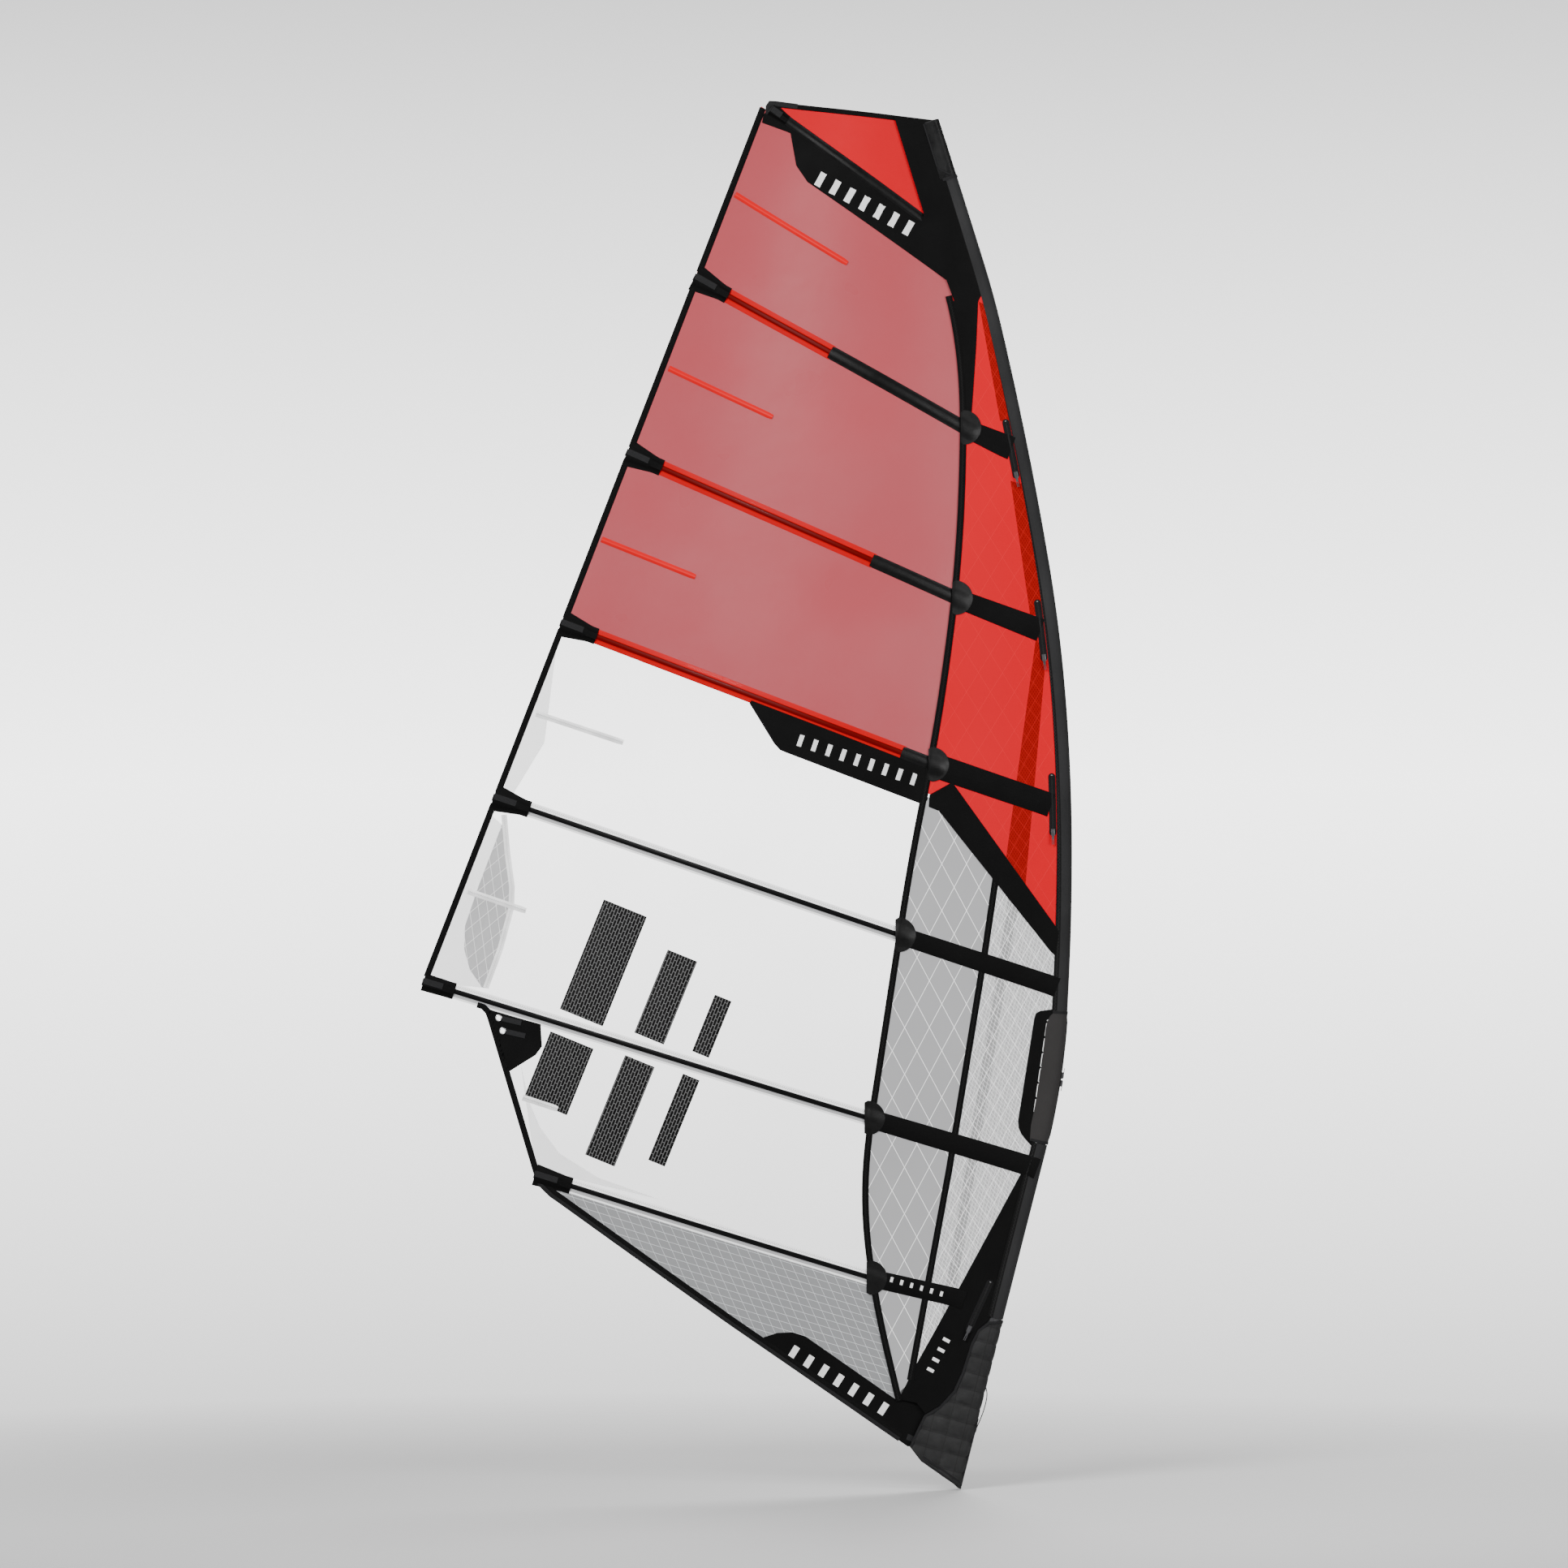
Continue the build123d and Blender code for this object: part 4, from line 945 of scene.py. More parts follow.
def make_mini_battens():
    for number, (start, end) in enumerate(MINI_BATTENS, 1):
        look = MINI_RED if number < 4 else MINI_WHITE
        rise = ((-9, 1.6), (-7, 2.2), (-4, 3.9), (0, 4.3), (4, 3.9), (7, 2.2), (9, 1.6))
        section = [(across, 0.9, high) for across, high in rise]
        piece = ribbon(f"leech_pocket_{number}", [start, end], section, look, PORT, half=no_half,
                       taper=lambda share: 1 - 0.25 * max(0.0, share - 0.96) / 0.04, spacing=8.0)
        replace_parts(piece, "mini_battens")
        back = [(v, 0.9, 1.5) for v in (-8, -6.5, 0, 6.5, 8)]
        ribbon(f"leech_pocket_back_{number}", [start, end], back, look, STARBOARD, half=no_half)


def edge_section(width, height):
    """A tape folded over an edge: round along the fold and thin at its sewn side. The film is to the left."""
    return [(1.2, -0.5, 0.5), (0.6, -height * 0.7, height * 0.7), (-1.5, -height, height),
            (-width + 1.5, -height, height), (-width, -height * 0.6, height * 0.6)]


def make_edge_tapes():
    """Black tape down the leech, round the clew, along the foot and across the head."""
    for k in range(1, 6):
        path = [leech_point(k, -pocket_width(k) / 2 + 4), leech_point(k + 1, pocket_width(k + 1) / 2 - 4)]
        piece = ribbon(f"leech_tape_{k}", path, edge_section(18, 2.2), EDGE_TAPE)
        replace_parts(piece, "leech_tape")
    clew = [(-1478, 1254), (-1462, 1249), (-1450, 1236), (-1444, 1220), (-1302, 746)]
    ribbon("clew_edge_tape", clew, edge_section(18, 2.3), EDGE_TAPE, spacing=14.0)
    foot = [(-1302, 746), (-1293, 722), (-1277, 705), (-1255, 684), (-1226, 664), (-711, 296)]
    foot += [(-251, -23), (-205, -54.7)]
    piece = ribbon("foot_edge_tape", foot, edge_section(25, 2.2), EDGE_TAPE)
    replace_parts(piece, "foot_tape")
    inner = [(1.6, -0.8, 0.8), (0.8, -2.2, 2.2), (-2.0, -3.0, 3.0), (-10.2, -2.9, 2.9), (-11, -2.0, 2.0)]
    ribbon("foot_edge_binding", foot, inner, PIPING)
    head = [(1.4, -0.8, 0.8), (0.4, -2.4, 2.4), (-13, -2.4, 2.4), (-14, -1.4, 1.4)]
    ribbon("head_edge_tape", [(-90, 3930), (-592, 3985)], head, EDGE_TAPE)
    corner = [(-604, 3948), (-604, 3972), (-594, 3987), (-572, 3986), (-508, 3978)]
    ribbon("head_corner_binding", corner[::-1], edge_section(15, 3.2), PIPING, spacing=8.0)


# ---- luff sleeve ----

BAND_LINES = {
    2: ((113, 2950), 54, 72), 3: ((200, 2401), 57, 70), 4: ((232, 1872), 74, 71),
    5: ((250, 1323), 54, 60), 6: ((190, 776), 57, 62), 7: ((-30, 379), 54, 56),
}
LOW_PATCH_EDGE = ((164, 752), (-23, 406), (-51, 357), (-155, 169), (-184, 110), (-204, 71))
MIDDLE_LINE = ((92, 1668), (55, 1418), (-52, 766), (-169, 129))


def sleeve_outlines():
    """The sleeve's colours as cut shapes: red above the strap, grey below it, black at the tack."""
    red = mast_points(1470, 3430)[::-1] + [(-60, 1885)] + seam_points(1900, 3400)
    left = seam_points(86, 1890)[::-1] + [(-184, 110), (-164, 152)]
    left += list(MIDDLE_LINE[:-1][::-1]) + [(-60, 1880)]
    right = list(MIDDLE_LINE) + list(LOW_PATCH_EDGE[:4][::-1]) + mast_points(760, 1470)
    fairing = [(-123, 27), (-80, 53), (-39, 97), (-14, 152), (15, 243), (35, 282.5), (65, 307.5)]
    low = list(LOW_PATCH_EDGE) + [(-150, 60)] + fairing + mast_points(330, 748)
    return {"red": red, "grey": left, "mesh": right, "low": low}


def make_sleeve():
    looks = {"red": SLEEVE_RED, "grey": SLEEVE_GREY, "mesh": SLEEVE_MESH, "low": BLACK_CLOTH}
    for word, side in SIDES.items():
        for part, outline in sleeve_outlines().items():
            piece = panel(f"sleeve_{part}_{word}", outline, looks[part], -FILM, 0.0, side, sleeve_outer)
            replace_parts(piece, f"sleeve_{word}")
            declare_sheet(outline)


def make_red_mesh():
    """Darker mesh strips where the red sleeve turns round the mast."""
    strips = (
        [(38, 3383), (102, 3025), (146, 3000)] + mast_points(3020, 3370, -8),
        [(134, 2842), (193, 2437)] + mast_points(2440, 2830, -8),
        [(211, 2372), (239, 2300), (178, 1624), (158, 1610), (118, 1690)],
    )
    for word, side in SIDES.items():
        for number, outline in enumerate(strips, 1):
            patch(f"red_mesh_{number}_{word}", outline, SLEEVE_RED_DARK, side, 0.05, 0.5)


def make_sleeve_bands():
    """Black cloth across the sleeve: one band to each cam, the slanting strap and the long middle line."""
    strap = [(-112, 1895), (-43, 1933), (266, 1504), (mast_x(1480) - 6, 1480), (mast_x(1423) - 14, 1408)]
    strap += [(254, 1423), (-84, 1847), (-114, 1859)]
    for word, side in SIDES.items():
        for k, (end, aft, fore) in BAND_LINES.items():
            seam = BATTENS[k][0]
            path = [(seam + 2, batten_z(k, seam + 2)), end, (end[0] + 24, end[1] - 9)]
            ribbon(f"sleeve_band_{k}_{word}", path, flat_section(aft, 0.5, 1.7), BLACK_CLOTH, side,
                   taper=lambda share, a=aft, f=fore: 1 + (f / a - 1) * share)
        patch(f"strap_{word}", strap, BLACK_CLOTH, side, 0.7, 1.9, 22.0)
        ribbon(f"middle_line_{word}", MIDDLE_LINE, flat_section(20, 0.2, 1.2), BLACK_TAPE, side)


def make_seam():
    """Zigzag tape down the seam, a wide band above batten 2, and a domed patch where each batten goes in."""
    for word, side in SIDES.items():
        path = seam_points(66, 3400)[::-1]
        ribbon(f"seam_tape_{word}", path, flat_section(20, 1.0, 2.0), BLACK_TAPE, side)
        upper = seam_points(2992, 3385, 4) + [(36, 3388), (30, 3250), (20, 3100), (12, 2992)]
        patch(f"seam_band_upper_{word}", upper, BLACK_CLOTH, side, 0.8, 1.7)
        for k in range(2, 8):
            make_dome(k, word, side)


def make_dome(k, word, side, radius=52.0):
    """A half-round patch that swells over the batten as it enters the sleeve."""
    x, z, _ = BATTENS[k]
    low, swell, thick, tunnel = 2.4, 5.5, 1.2, 30
    turns = [math.radians(90 - 7.5 * i) for i in range(25)]
    outline = [(x + radius * math.cos(a), z + radius * math.sin(a)) for a in turns]
    outline += [(x - 10, z - radius + 6), (x - 10, z + radius - 6)]

    def lift(px, pz):
        off = abs(pz - batten_z(k, px)) / tunnel
        reach = math.hypot(px - x, pz - z) / radius
        return low + swell * (max(0.0, 1 - off * off) * max(0.0, 1 - reach ** 4))

    def place(drop):
        return lambda px, pz: off_sail(px, pz, side * (skin_half(px, pz) + lift(px, pz) - drop))
    name = f"batten_dome_{k}_{word}"
    solid(name, square_cells(outline, 6.0), place(0.0), place(thick), POCKET_BLACK)


def make_nose():
    """The cloth round the mast, its head cap and the zipped cover of the boom opening."""
    lower = wrap("nose_cloth_lower", 318, CUTOUT_LOW_Z - 6, lambda z: NOSE_LEG, NOSE_CLOTH)
    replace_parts(lower, "nose_panel_lower")
    upper = wrap("nose_cloth_upper", CUTOUT_HIGH_Z + 2, SLEEVE_TOP_Z, lambda z: NOSE_LEG, NOSE_CLOTH)
    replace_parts(upper, "nose_panel_upper")

    def cover_leg(z):
        high, low = (CUTOUT_HIGH_Z - z) / 60, (z - CUTOUT_LOW_Z) / 40
        return 6 + 26 * math.sqrt(max(0.0, 1 - (1 - min(1.0, high)) ** 2)) * min(1.0, 0.75 + 0.25 * low)
    low, high = CUTOUT_LOW_Z - 2, CUTOUT_HIGH_Z - 2
    cover = wrap("boom_opening_cover", low, high, cover_leg, COVER_CLOTH, 0.7, spacing=9.0)
    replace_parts(cover, "boom_zip_cover")
    for word, z, leg in (("upper", CUTOUT_HIGH_Z - 3, 14), ("lower", CUTOUT_LOW_Z - 4, 24)):
        wrap(f"cover_rim_{word}", z, z + 8, lambda h, a=leg: a, PIPING, 1.8, 2.6, 4.0)
    low, high = SLEEVE_TOP_Z + 3, HEAD_TOP_Z + 1
    cap = wrap("head_cap_cloth", low, high, lambda z: 33.0, HEAD_GLOSS, 0.6, 2.2, 10.0)
    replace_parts(cap, "head_cap")
    wrap("head_cap_rim", SLEEVE_TOP_Z - 4, SLEEVE_TOP_Z + 4, lambda z: 26.0, PIPING, 1.9, 2.8, 4.0)
    low, high = SLEEVE_TOP_Z + 22, HEAD_TOP_Z - 2
    heights = (low - 6, low, low + 8, low + 16, low + 24, high)
    line = [(mast_x(z) - 30 + 22 * max(0.0, 1 - (z - low) / 22) ** 2, z - 8) for z in heights]
    section = flat_section(5, 2.0, 4.4, 1.2)
    for word, side in SIDES.items():
        ribbon(f"head_cap_piping_{word}", line, section, PIPING, side, half=sleeve_outer, spacing=8.0)
    make_cap_lid()


def make_cap_lid():
    """The cap's closed top, a rounded plate a little proud of its walls."""
    z = HEAD_TOP_Z + 1
    r, tilt = nose_r(z) + 0.8, math.radians(lean(z))
    arc = [math.radians(-90 + 15 * i) for i in range(13)]
    rim = [(r * math.sin(a), r * math.cos(a)) for a in arc] + [(r - 2, -33), (-r + 2, -33)]
    rings = (1.0, 0.97, 0.85, 0.55, 0.0)
    rise = (0.0, 1.4, 2.2, 2.8, 3.0)
    middle = -8

    def place(base):
        def at(ring, turn):
            across, ahead = rim[turn % len(rim)]
            lift = base + (rise[ring] if base else 0.0)
            across, ahead = across * rings[ring], middle + (ahead - middle) * rings[ring]
            return (mast_x(z) + ahead * math.cos(tilt) + lift * math.sin(tilt), across,
                    z - ahead * math.sin(tilt) + lift * math.cos(tilt))
        return at

    def flat(p):
        return tuple(v * rings[p[0]] for v in rim[p[1] % len(rim)])
    parts = grid(range(len(rings)), range(len(rim) + 1))
    solid("head_cap_lid", parts, place(0.4), place(0.0), HEAD_GLOSS, uv=flat)


def make_boom_opening():
    """The black patch beside the boom opening, and its row of height marks."""
    low, high = CUTOUT_LOW_Z - 18, CUTOUT_HIGH_Z + 10
    outline = [(mast_x(high) - 16, high), (222, 1243), (210, 1236), (205, 1221), (156, 911), (158, 890)]
    outline += [(166, 872), (182, 852), (mast_x(low) - 12, low)] + mast_points(low, high, -8)
    top, bottom = (243, 1210), (196, 884)
    count = 7
    step = Vector((bottom[0] - top[0], bottom[1] - top[1])) / count
    along, side_way = step.normalized(), Vector((-step.y, step.x)).normalized()
    path = [Vector((258, 1219)), Vector((248, 1217))]
    for i in range(count + 1):
        middle = Vector(top) + step * i * 0.985
        path += [middle - along * 5, middle + side_way * 6, middle + along * 5]
    path.append(path[-1] + along * 6 + side_way * 7)
    marks = [(p.x, p.y) for p in path]
    for word, side in SIDES.items():
        patch(f"boom_patch_{word}", outline, BLACK_CLOTH, side, 0.3, 1.4, 20.0)
        ribbon(f"height_marks_{word}", marks, flat_section(2.4, 1.2, 1.9, 0.5), MARKER, side, spacing=8.0)


# ---- zips ----

CAM_ZIPS = {2: (2849, 3028), 3: (2298, 2484), 4: (1771, 1960)}
CAM_ZIP_SHIFT, TACK_ZIP, TOOTH_PITCH = -29.0, ((4, 274), (75, 431)), 1.15


def blocks(name, places, size, look):
    """Many small blocks in one mesh. Each place gives a point for (along, across, lift) beside its middle."""
    length, width, low, high = size
    corners = ((-1, -1), (1, -1), (1, 1), (-1, 1))
    points, faces = [], []
    for place in places:
        base = len(points)
        for lift, ends in ((low, 1.0), (high, 0.7)):
            points += [place(a * ends * length / 2, b * ends * width / 2, lift) for a, b in corners]
        faces += [(base, base + 1, base + 2, base + 3), (base + 4, base + 5, base + 6, base + 7)]
        faces += [(base + i, base + (i + 1) % 4, base + 4 + (i + 1) % 4, base + 4 + i) for i in range(4)]
    return finish_piece(name, new_mesh(name, points, faces), look)


def tooth_place(x, z, dx, dz, across, side=PORT):
    """A tooth's own small frame on one face of the sail."""
    def at(along, side_way, lift):
        px, pz = x + dx * along + dz * (across + side_way), z + dz * along - dx * (across + side_way)
        return off_sail(px, pz, side * (skin_half(px, pz) + lift))
    return at


def make_marks():
    """Rows of plain bars on the black patches, as generic marks."""
    rows = {
        "head": ((-440, 3750), (-175, 3604), 7, (20, 46, 1.25, 1.65)),
        "middle": ((-500, 2058), (-160, 1942), 9, (14, 36, 0.95, 1.35)),
        "foot": ((-520, 214), (-250, 42), 7, (20, 40, 0.95, 1.35)),
        "band": ((-225, 433), (-75, 390), 6, (9, 16, 1.65, 2.0)),
        "tack": ((-108, 160), (-60, 250), 4, (10, 22, 0.05, 0.5)),
    }
    for name, ((x, z), end, count, size) in rows.items():
        run, rise = end[0] - x, end[1] - z
        length = math.hypot(run, rise)
        spots = [(x + run * t, z + rise * t, run / length, rise / length) for t in steps(0, 1, count - 1)]
        for word, side in SIDES.items():
            places = [tooth_place(*spot, 0, side) for spot in spots]
            blocks(f"marks_{name}_{word}", places, size, MARKER)


def make_zip(name, path):
    """A coil zip on the port face: a raised tape with rounded ends, and its two rows of teeth."""
    total = sum(math.dist(a, b) for a, b in zip(path, path[1:]))

    def rounded(share):
        inward = min(1.0, min(share, 1 - share) * total / 10)
        return math.sqrt(max(0.1, 1 - (1 - inward) ** 2))
    section = flat_section(21, 0.1, 1.4, 1.0)
    tape = ribbon(f"{name}_tape", path, section, ZIP_TAPE, PORT, taper=rounded, spacing=2.5)
    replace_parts(tape, "zip_tracks")
    teeth = []
    rows = resample(path, TOOTH_PITCH)
    for number, (gone, *row) in enumerate(rows):
        if 7 < gone < total - 7:
            teeth.append(tooth_place(*row, 1.3 if number % 2 else -1.3))
    blocks(f"{name}_teeth", teeth, (1.3, 4.2, 1.2, 2.7), ZIP_COIL)
    stops = [tooth_place(*rows[i][1:], 0.0) for i in (5, -6)]
    blocks(f"{name}_stops", stops, (2.6, 7.0, 1.2, 2.8), STEEL)


def make_zips():
    for k, (low, high) in CAM_ZIPS.items():
        make_zip(f"cam_zip_{k}", mast_points(low, high, CAM_ZIP_SHIFT, 45.0))
    make_zip("tack_zip", list(TACK_ZIP))
    make_boom_zip()


def make_boom_zip():
    """The teeth down the front of the boom opening's cover, on a narrow tape."""
    def front_place(z, across, lift):
        tilt, r = math.radians(lean(z)), nose_r(z) + 0.7
        ahead = math.sqrt(r * r - across * across) + lift
        return mast_x(z) + ahead * math.cos(tilt), camber(mast_x(z), z) + across, z - ahead * math.sin(tilt)
    low, high = CUTOUT_LOW_Z + 14, CUTOUT_HIGH_Z - 16
    parts = grid(steps(low, high, 60), (-7.5, -6.0, 0.0, 6.0, 7.5))
    solid("boom_zip_tape", parts, lambda z, v: front_place(z, v, 0.9 if abs(v) < 7 else 0.4),
          lambda z, v: front_place(z, v, -0.4), ZIP_TAPE)
    teeth = []
    for i in range(8, int((high - low) / TOOTH_PITCH) - 7):
        z, across = low + i * TOOTH_PITCH, 1.1 if i % 2 else -1.1
        teeth.append(lambda a, b, lift, z=z, across=across: front_place(z + a, across + b, lift))
    blocks("boom_zip_teeth", teeth, (1.3, 3.6, 0.7, 2.0), ZIP_COIL)


# ---- clew ----

def ring(name, centre, profile, look, turns=48):
    """A ring turned about an axis along Y through centre, from its (radius, across) section."""
    x, z = centre
    middle = camber(x, z)
    n = len(profile)
    points = []
    for i in range(turns):
        angle = 2 * math.pi * i / turns
        points += [(x + r * math.cos(angle), middle + y, z + r * math.sin(angle)) for r, y in profile]
    faces = [
        (i * n + j, i * n + (j + 1) % n, (i + 1) % turns * n + (j + 1) % n, (i + 1) % turns * n + j)
        for i in range(turns) for j in range(n)
    ]
    return finish_piece(name, new_mesh(name, points, faces), look, sharp=50.0)


def make_clew_patch():
    """The black patch in the clew's corner, cut out inside the two rings."""
    outline = [(-1446, 1249), (-1350, 1221), (-1284, 1203), (-1280, 1136), (-1299, 1110), (-1376, 1062)]
    outline += [(-1388, 1062), (-1436, 1220), (-1442, 1236)]
    points, faces = square_cells(outline, 2.5)
    clear = 8.6

    def clear_of_rings(face):
        x, z = (sum(points[i][axis] for i in face) / len(face) for axis in (0, 1))
        return all(math.hypot(x - ex, z - ez) > clear for ex, ez in EYELETS)
    parts = points, [face for face in faces if clear_of_rings(face)]
    lift = FILM + 0.8
    piece = solid("clew_corner_cloth", parts, lambda x, z: off_sail(x, z, lift),
                  lambda x, z: off_sail(x, z, -lift), BLACK_CLOTH)
    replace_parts(piece, "clew_patch")


def make_clew():
    """Two rolled steel rings in the clew, each with a webbing strap sewn to both faces."""
    make_clew_patch()
    half = [(6.75, 2.6), (6.95, 3.5), (7.6, 4.0), (8.6, 4.05), (9.7, 3.6), (10.3, 2.9), (10.5, 2.2)]
    profile = [(r, -y) for r, y in half] + half[::-1]
    tilt = math.radians(-13)
    along = Vector((math.cos(tilt), math.sin(tilt)))
    section = [(v, 2.55, high) for v, high in ((-8, 3.6), (-7, 4.5), (0, 4.7), (7, 4.5), (8, 3.6))]
    for number, centre in enumerate(EYELETS, 1):
        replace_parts(ring(f"clew_ring_{number}", centre, profile, STEEL), "clew_eyelets")
        path = [tuple(Vector(centre) + along * away) for away in (11.2, 70)]
        for word, side in SIDES.items():
            name = f"clew_strap_{number}_{word}"
            strap = ribbon(name, path, section, WEBBING, side, half=no_half, spacing=4.0)
            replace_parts(strap, "clew_straps")


# ---- tack fairing ----

FAIRING_OUTLINE = FAIRING_EDGE + ((110.5, 308), (-18.1, -200.7), (-23, -198), (-40, -182), (-136, -116))
FAIRING_THICK, QUILT_SIZE, QUILT_PUFF = 3.0, 50.0, 3.2
NOSE_ARC = NOSE_R * math.pi / 2 - 0.45


def flap_flat(x, z):
    """A point of the side view on a flap's flat pattern: how far round the nose it is, and along the mast."""
    along, ahead = from_foot(x, z)
    if ahead <= 0:
        return ahead, along
    return min(NOSE_R * math.asin(min(1.0, ahead / NOSE_R)), NOSE_ARC), along


def flap_place(side, lift):
    """From a flap's flat pattern to its place; lift(u, s) is how far outside its surface."""
    slope = (NOSE_R - FAIRING_AFT_HALF) / FAIRING_AFT

    def at(u, s):
        out = lift(u, s)
        if u <= 0:
            across, ahead = NOSE_R + slope * u + out, u - slope * out
        else:
            across, ahead = (NOSE_R + out) * math.cos(u / NOSE_R), (NOSE_R + out) * math.sin(u / NOSE_R)
        x, z = at_foot(s, ahead)
        return x, side * across, z
    return at


def puff(u, s):
    """The quilting's swell: nothing on its seams and fullest in the middle of each square."""
    swell = abs(math.sin(math.pi * u / QUILT_SIZE)) * abs(math.sin(math.pi * s / QUILT_SIZE))
    return QUILT_PUFF * swell ** 0.45


def make_flap(word, side):
    body = f"fairing_{word}"
    outline = [flap_flat(x, z) for x, z in FAIRING_OUTLINE]
    step = QUILT_SIZE / 8
    parts = cells(outline, [-156 + step * i for i in range(33)], [-231.25 + step * i for i in range(92)])
    flap = solid(f"fairing_flap_{word}", parts, flap_place(side, puff),
                 flap_place(side, lambda u, s: -FAIRING_THICK), QUILT, body=body, sharp=60.0)
    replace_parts(flap, f"tack_fairing_{word}")
    edge = [flap_flat(x, z) for x, z in FAIRING_EDGE]
    foot = [flap_flat(x, z) for x, z in FAIRING_OUTLINE[-4:]]
    luff = [(NOSE_ARC - 8, -190), (NOSE_ARC - 8, 20)]
    strips = (("piping", edge, 9.0, 3.7, 4.0), ("foot_edge", foot, 8.0, 4.0, 4.0),
              ("foot_line", foot, 7.0, 16.0, 4.0), ("luff_strip", luff, 14.0, 0.0, 4.2))
    for kind, path, width, inset, height in strips:
        flap_strip(f"fairing_{kind}_{word}", path, width, inset, height, side, body)


def flap_strip(name, path, width, inset, height, side, body):
    """A sewn strip on a flap along a path of its flat pattern; inset shifts it to the right of the path."""
    rows = resample(path, 6.0)
    rise = ((-1, 0.4), (-0.8, 0.85), (0, 1.0), (0.8, 0.85), (1, 0.4))
    section = [(inset + v * width / 2, h) for v, h in rise]

    def flat(i, j):
        _, u, s, du, ds = rows[i]
        across = section[j][0]
        return min(u + ds * across, NOSE_ARC), s - du * across

    def place(lift):
        return lambda i, j: flap_place(side, lambda u, s: lift(j))(*flat(i, j))
    parts = grid(range(len(rows)), range(len(section)))
    solid(name, parts, place(lambda j: height * section[j][1]), place(lambda j: -0.6), PIPING,
          uv=lambda p: flat(*p), body=body)


def make_bungee():
    """The elastic cord from the fairing's port flap, round its nose and down to the hook."""
    curve = bpy.data.curves.new("fairing_elastic", "CURVE")
    curve.dimensions = "3D"
    curve.bevel_depth = BUNGEE_D / 2 * MM
    curve.bevel_resolution = 6
    curve.resolution_u = 16
    spline = curve.splines.new("NURBS")
    spline.points.add(len(BUNGEE_ROUTE) - 1)
    route = [Vector((x, -BUNGEE_SIDE, z)) * MM for x, z in (at_foot(*place) for place in BUNGEE_ROUTE)]
    for point, place in zip(spline.points, route):
        point.co = (*place, 1.0)
    spline.order_u = 3
    spline.use_endpoint_u = True
    cord = put("fairing_elastic", curve)
    curve.materials.append(BUNGEE_LOOK[0])
    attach(cord, "fairing_port")
    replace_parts(cord, "fairing_bungee")


# ---- pieces shown as the CAD has them ----

def dress(look, *nodes, edge=0.0):
    """Gives CAD nodes their finish, a flat cloth map, and softened edges where edge is their width."""
    for name in nodes:
        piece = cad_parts[name]
        mesh = piece.data
        mesh.materials.clear()
        mesh.materials.append(look[0])
        layer = mesh.uv_layers.new(name="cloth")
        for loop in mesh.loops:
            place = mesh.vertices[loop.vertex_index].co
            layer.data[loop.index].uv = (place.x, place.z)
        mesh.shade_smooth()
        mesh.set_sharp_from_angle(angle=math.radians(32))
        if edge:
            soft = piece.modifiers.new("soft_edges", "BEVEL")
            soft.width = edge * MM
            soft.segments = 2
            soft.limit_method = "ANGLE"
            soft.angle_limit = math.radians(40)
            soft.harden_normals = True


def dress_cad():
    dress(CARBON, "mast_bottom", "mast_top", "mast_ferrule")
    dress(MOULDED, "mast_tip_plug", "cam_bodies", "bungee_hook", edge=0.4)
    dress(MOULDED, *[f"batten_tensioner_{k}" for k in BATTENS], edge=0.3)
    dress(ROD, *[f"batten_{k}" for k in BATTENS])
    dress(ACETAL, *[f"cam_rollers_{k}" for k in (2, 3, 4, 6, 7)], *[f"tack_sheave_{n}" for n in (1, 2, 3)])
    sliders = [f"cam_zip_slider_{k}" for k in CAM_ZIPS]
    dress(ZIP_METAL, *sliders, "tack_zip_slider", "boom_zip_slider_upper", "boom_zip_slider_lower", edge=0.35)
    dress(STEEL, "tack_pulley_frame", "tack_pulley_pin", edge=0.35)
    dress(WEBBING, "tack_strap")


# ---- stage, light and camera ----

def make_camera():
    data = bpy.data.cameras.new("camera")
    data.lens, data.sensor_width, data.clip_end = 200.0, 36.0, 300.0
    camera = put("camera", data)
    camera.location = (-0.5498, -26.3, 1.9277)
    camera.rotation_euler = (math.pi / 2, 0.0, 0.0)
    bpy.context.scene.camera = camera


def make_light(name, place, target, size, power):
    data = bpy.data.lights.new(name, "AREA")
    data.shape, data.size, data.energy = "DISK", size, power
    light = put(name, data)
    light.location = place
    light.rotation_euler = (Vector(target) - Vector(place)).to_track_quat("-Z", "Y").to_euler()


WORLD_LOW, WORLD_MIDDLE, WORLD_HIGH, WORLD_AROUND = grey(0.85), grey(3.9), grey(1.36), 0.3
FLOOR_R, FLOOR_X, FLOOR_DROP = 4.5, -0.5, 0.003
SAIL_MIDDLE = (-0.5, 0, 1.8)


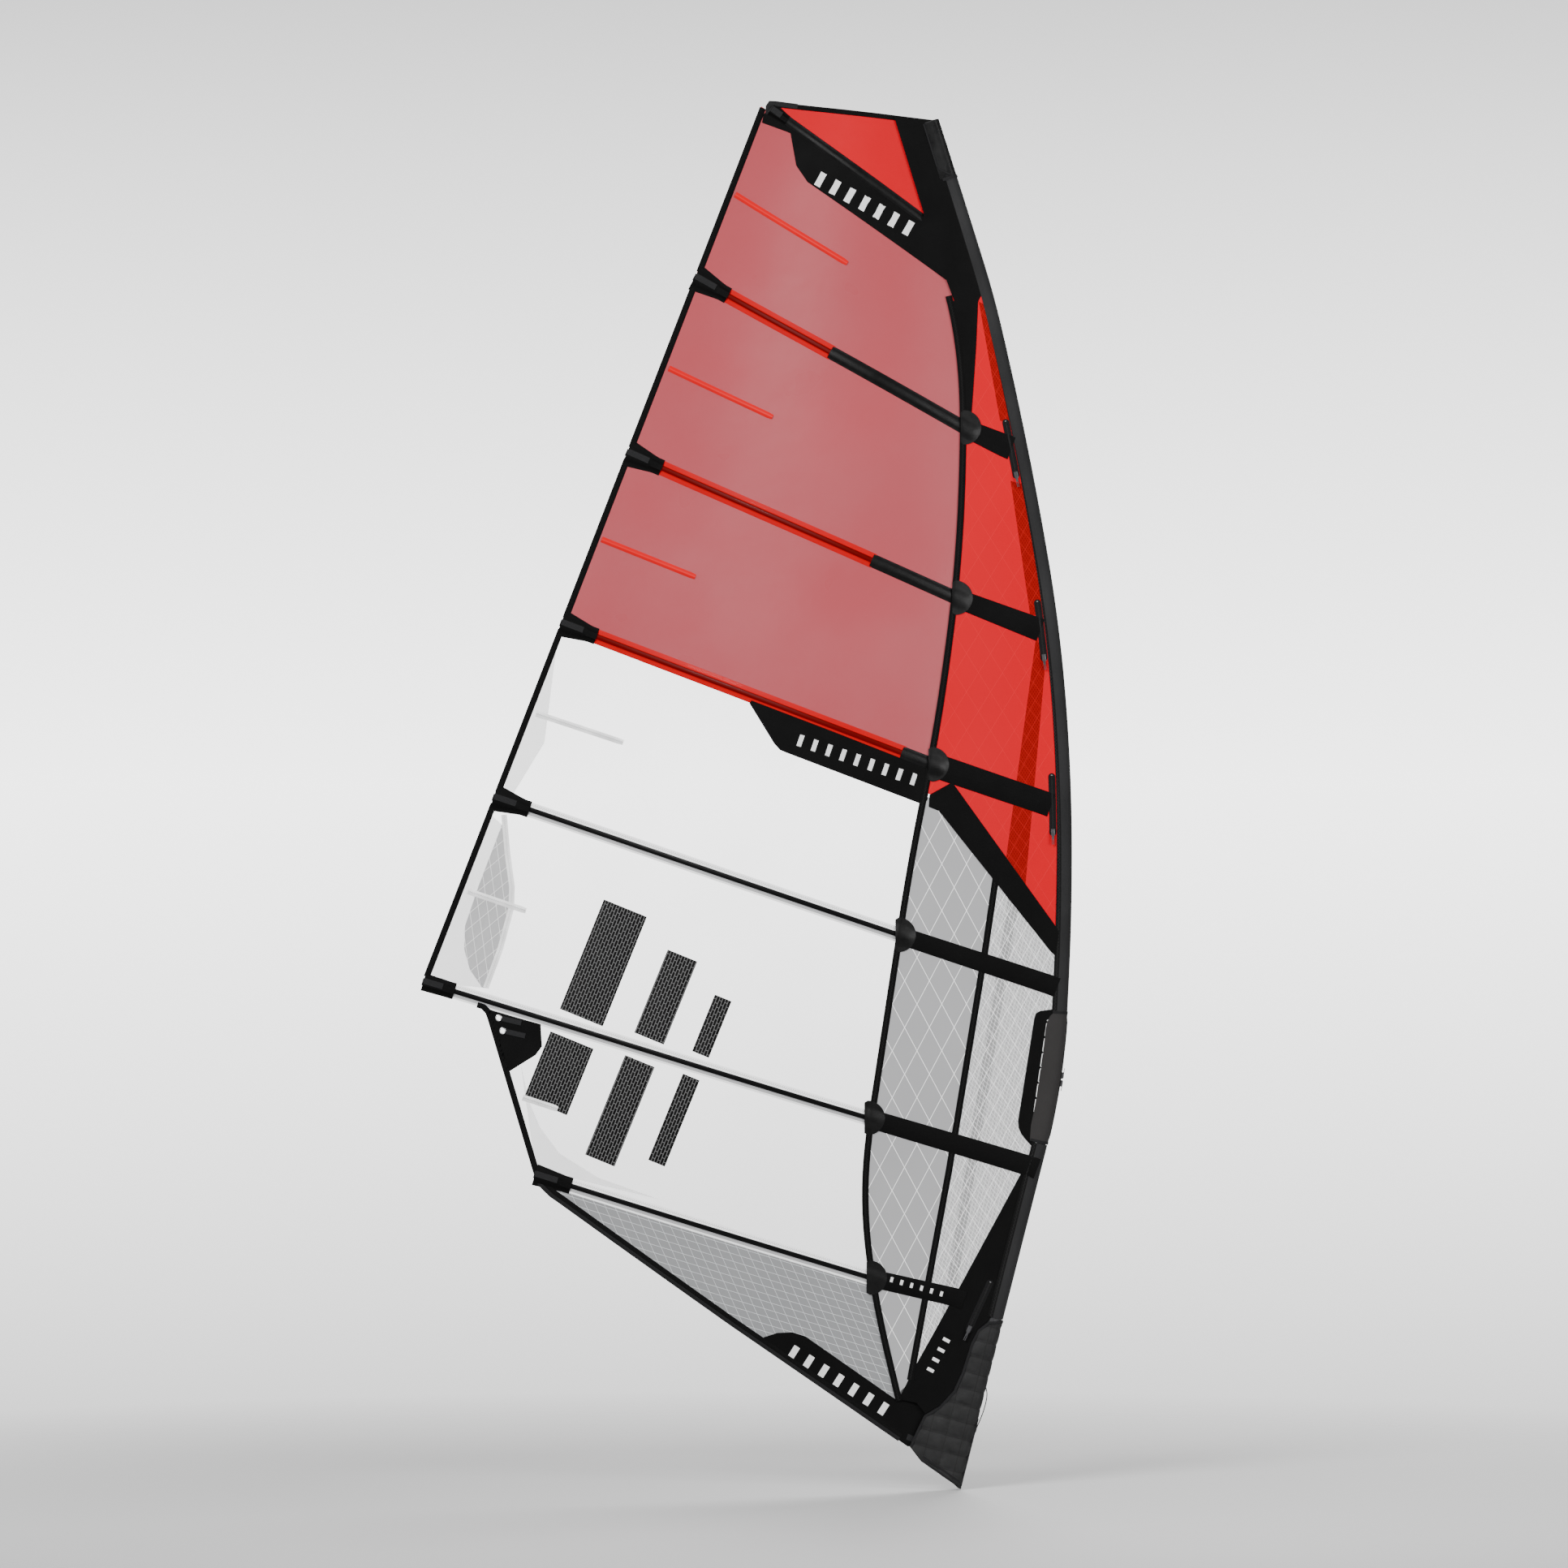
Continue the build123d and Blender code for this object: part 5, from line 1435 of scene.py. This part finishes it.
def make_world():
    """A pale studio background, brightest at eye level, with a lit backdrop behind the sail."""
    world = bpy.data.worlds.new("studio")
    bpy.context.scene.world = world
    world.use_nodes = True
    sky = Nodes(world.node_tree)
    split = sky.node("SeparateXYZ")
    sky.fill(split, sky.node("TexCoord").outputs["Generated"])
    ramp = sky.node("ValToRGB")
    stops = ramp.color_ramp.elements
    stops[0].color = (*WORLD_LOW, 1)
    stops[1].color = (*WORLD_HIGH, 1)
    stops.new(0.5).color = (*WORLD_MIDDLE, 1)
    background = sky.tree.nodes["Background"]
    sky.feed(background.inputs["Color"], sky.fill(ramp, sky.ranged(split.outputs["Z"], -0.09, 0.09)))
    spread = sky.ranged(split.outputs["Y"], 0.93, 0.985, WORLD_AROUND, 1.0)
    sky.feed(background.inputs["Strength"], spread)


def make_floor():
    """A pale floor that fades out some way from the sail."""
    mesh = bpy.data.meshes.new("floor")
    level = CAD_BOX[0][2] - FLOOR_DROP
    turns = [2 * math.pi * i / 48 for i in range(48)]
    points = [(FLOOR_X + FLOOR_R * math.cos(a), FLOOR_R * math.sin(a), level) for a in turns]
    mesh.from_pydata(points, [], [tuple(range(len(turns)))])
    floor = put("floor", mesh)
    look = Look("pale_floor", rough=0.7)
    away = look.node("VectorMath", operation="DISTANCE")
    look.feed(away.inputs[0], look.in_piece())
    away.inputs[1].default_value = (FLOOR_X, 0.0, level)
    fade = look.ranged(away.outputs["Value"], 1.6, 4.3, 1.0, 0.0)
    mesh.materials.append(look.finish(grey(0.5), None, alpha=fade)[0])


def make_stage():
    make_camera()
    make_world()
    make_floor()
    make_light("key", (-4.5, -7.5, 6.5), SAIL_MIDDLE, 4.0, 1350)
    make_light("fill", (6.0, -6.0, 3.0), SAIL_MIDDLE, 5.0, 700)
    make_light("back", (1.5, 6.0, 5.0), SAIL_MIDDLE, 4.0, 500)


# ---- making ----

make_stage()
make_bungee()
make_film()
make_window_trim()
make_window_stripes()
make_black_patches()
make_pockets()
make_batten_ends()
make_mini_battens()
make_edge_tapes()
make_sleeve()
make_red_mesh()
make_sleeve_bands()
make_seam()
make_nose()
make_boom_opening()
make_marks()
make_zips()
make_clew()
for side_word, side_sign in SIDES.items():
    make_flap(side_word, side_sign)
dress_cad()
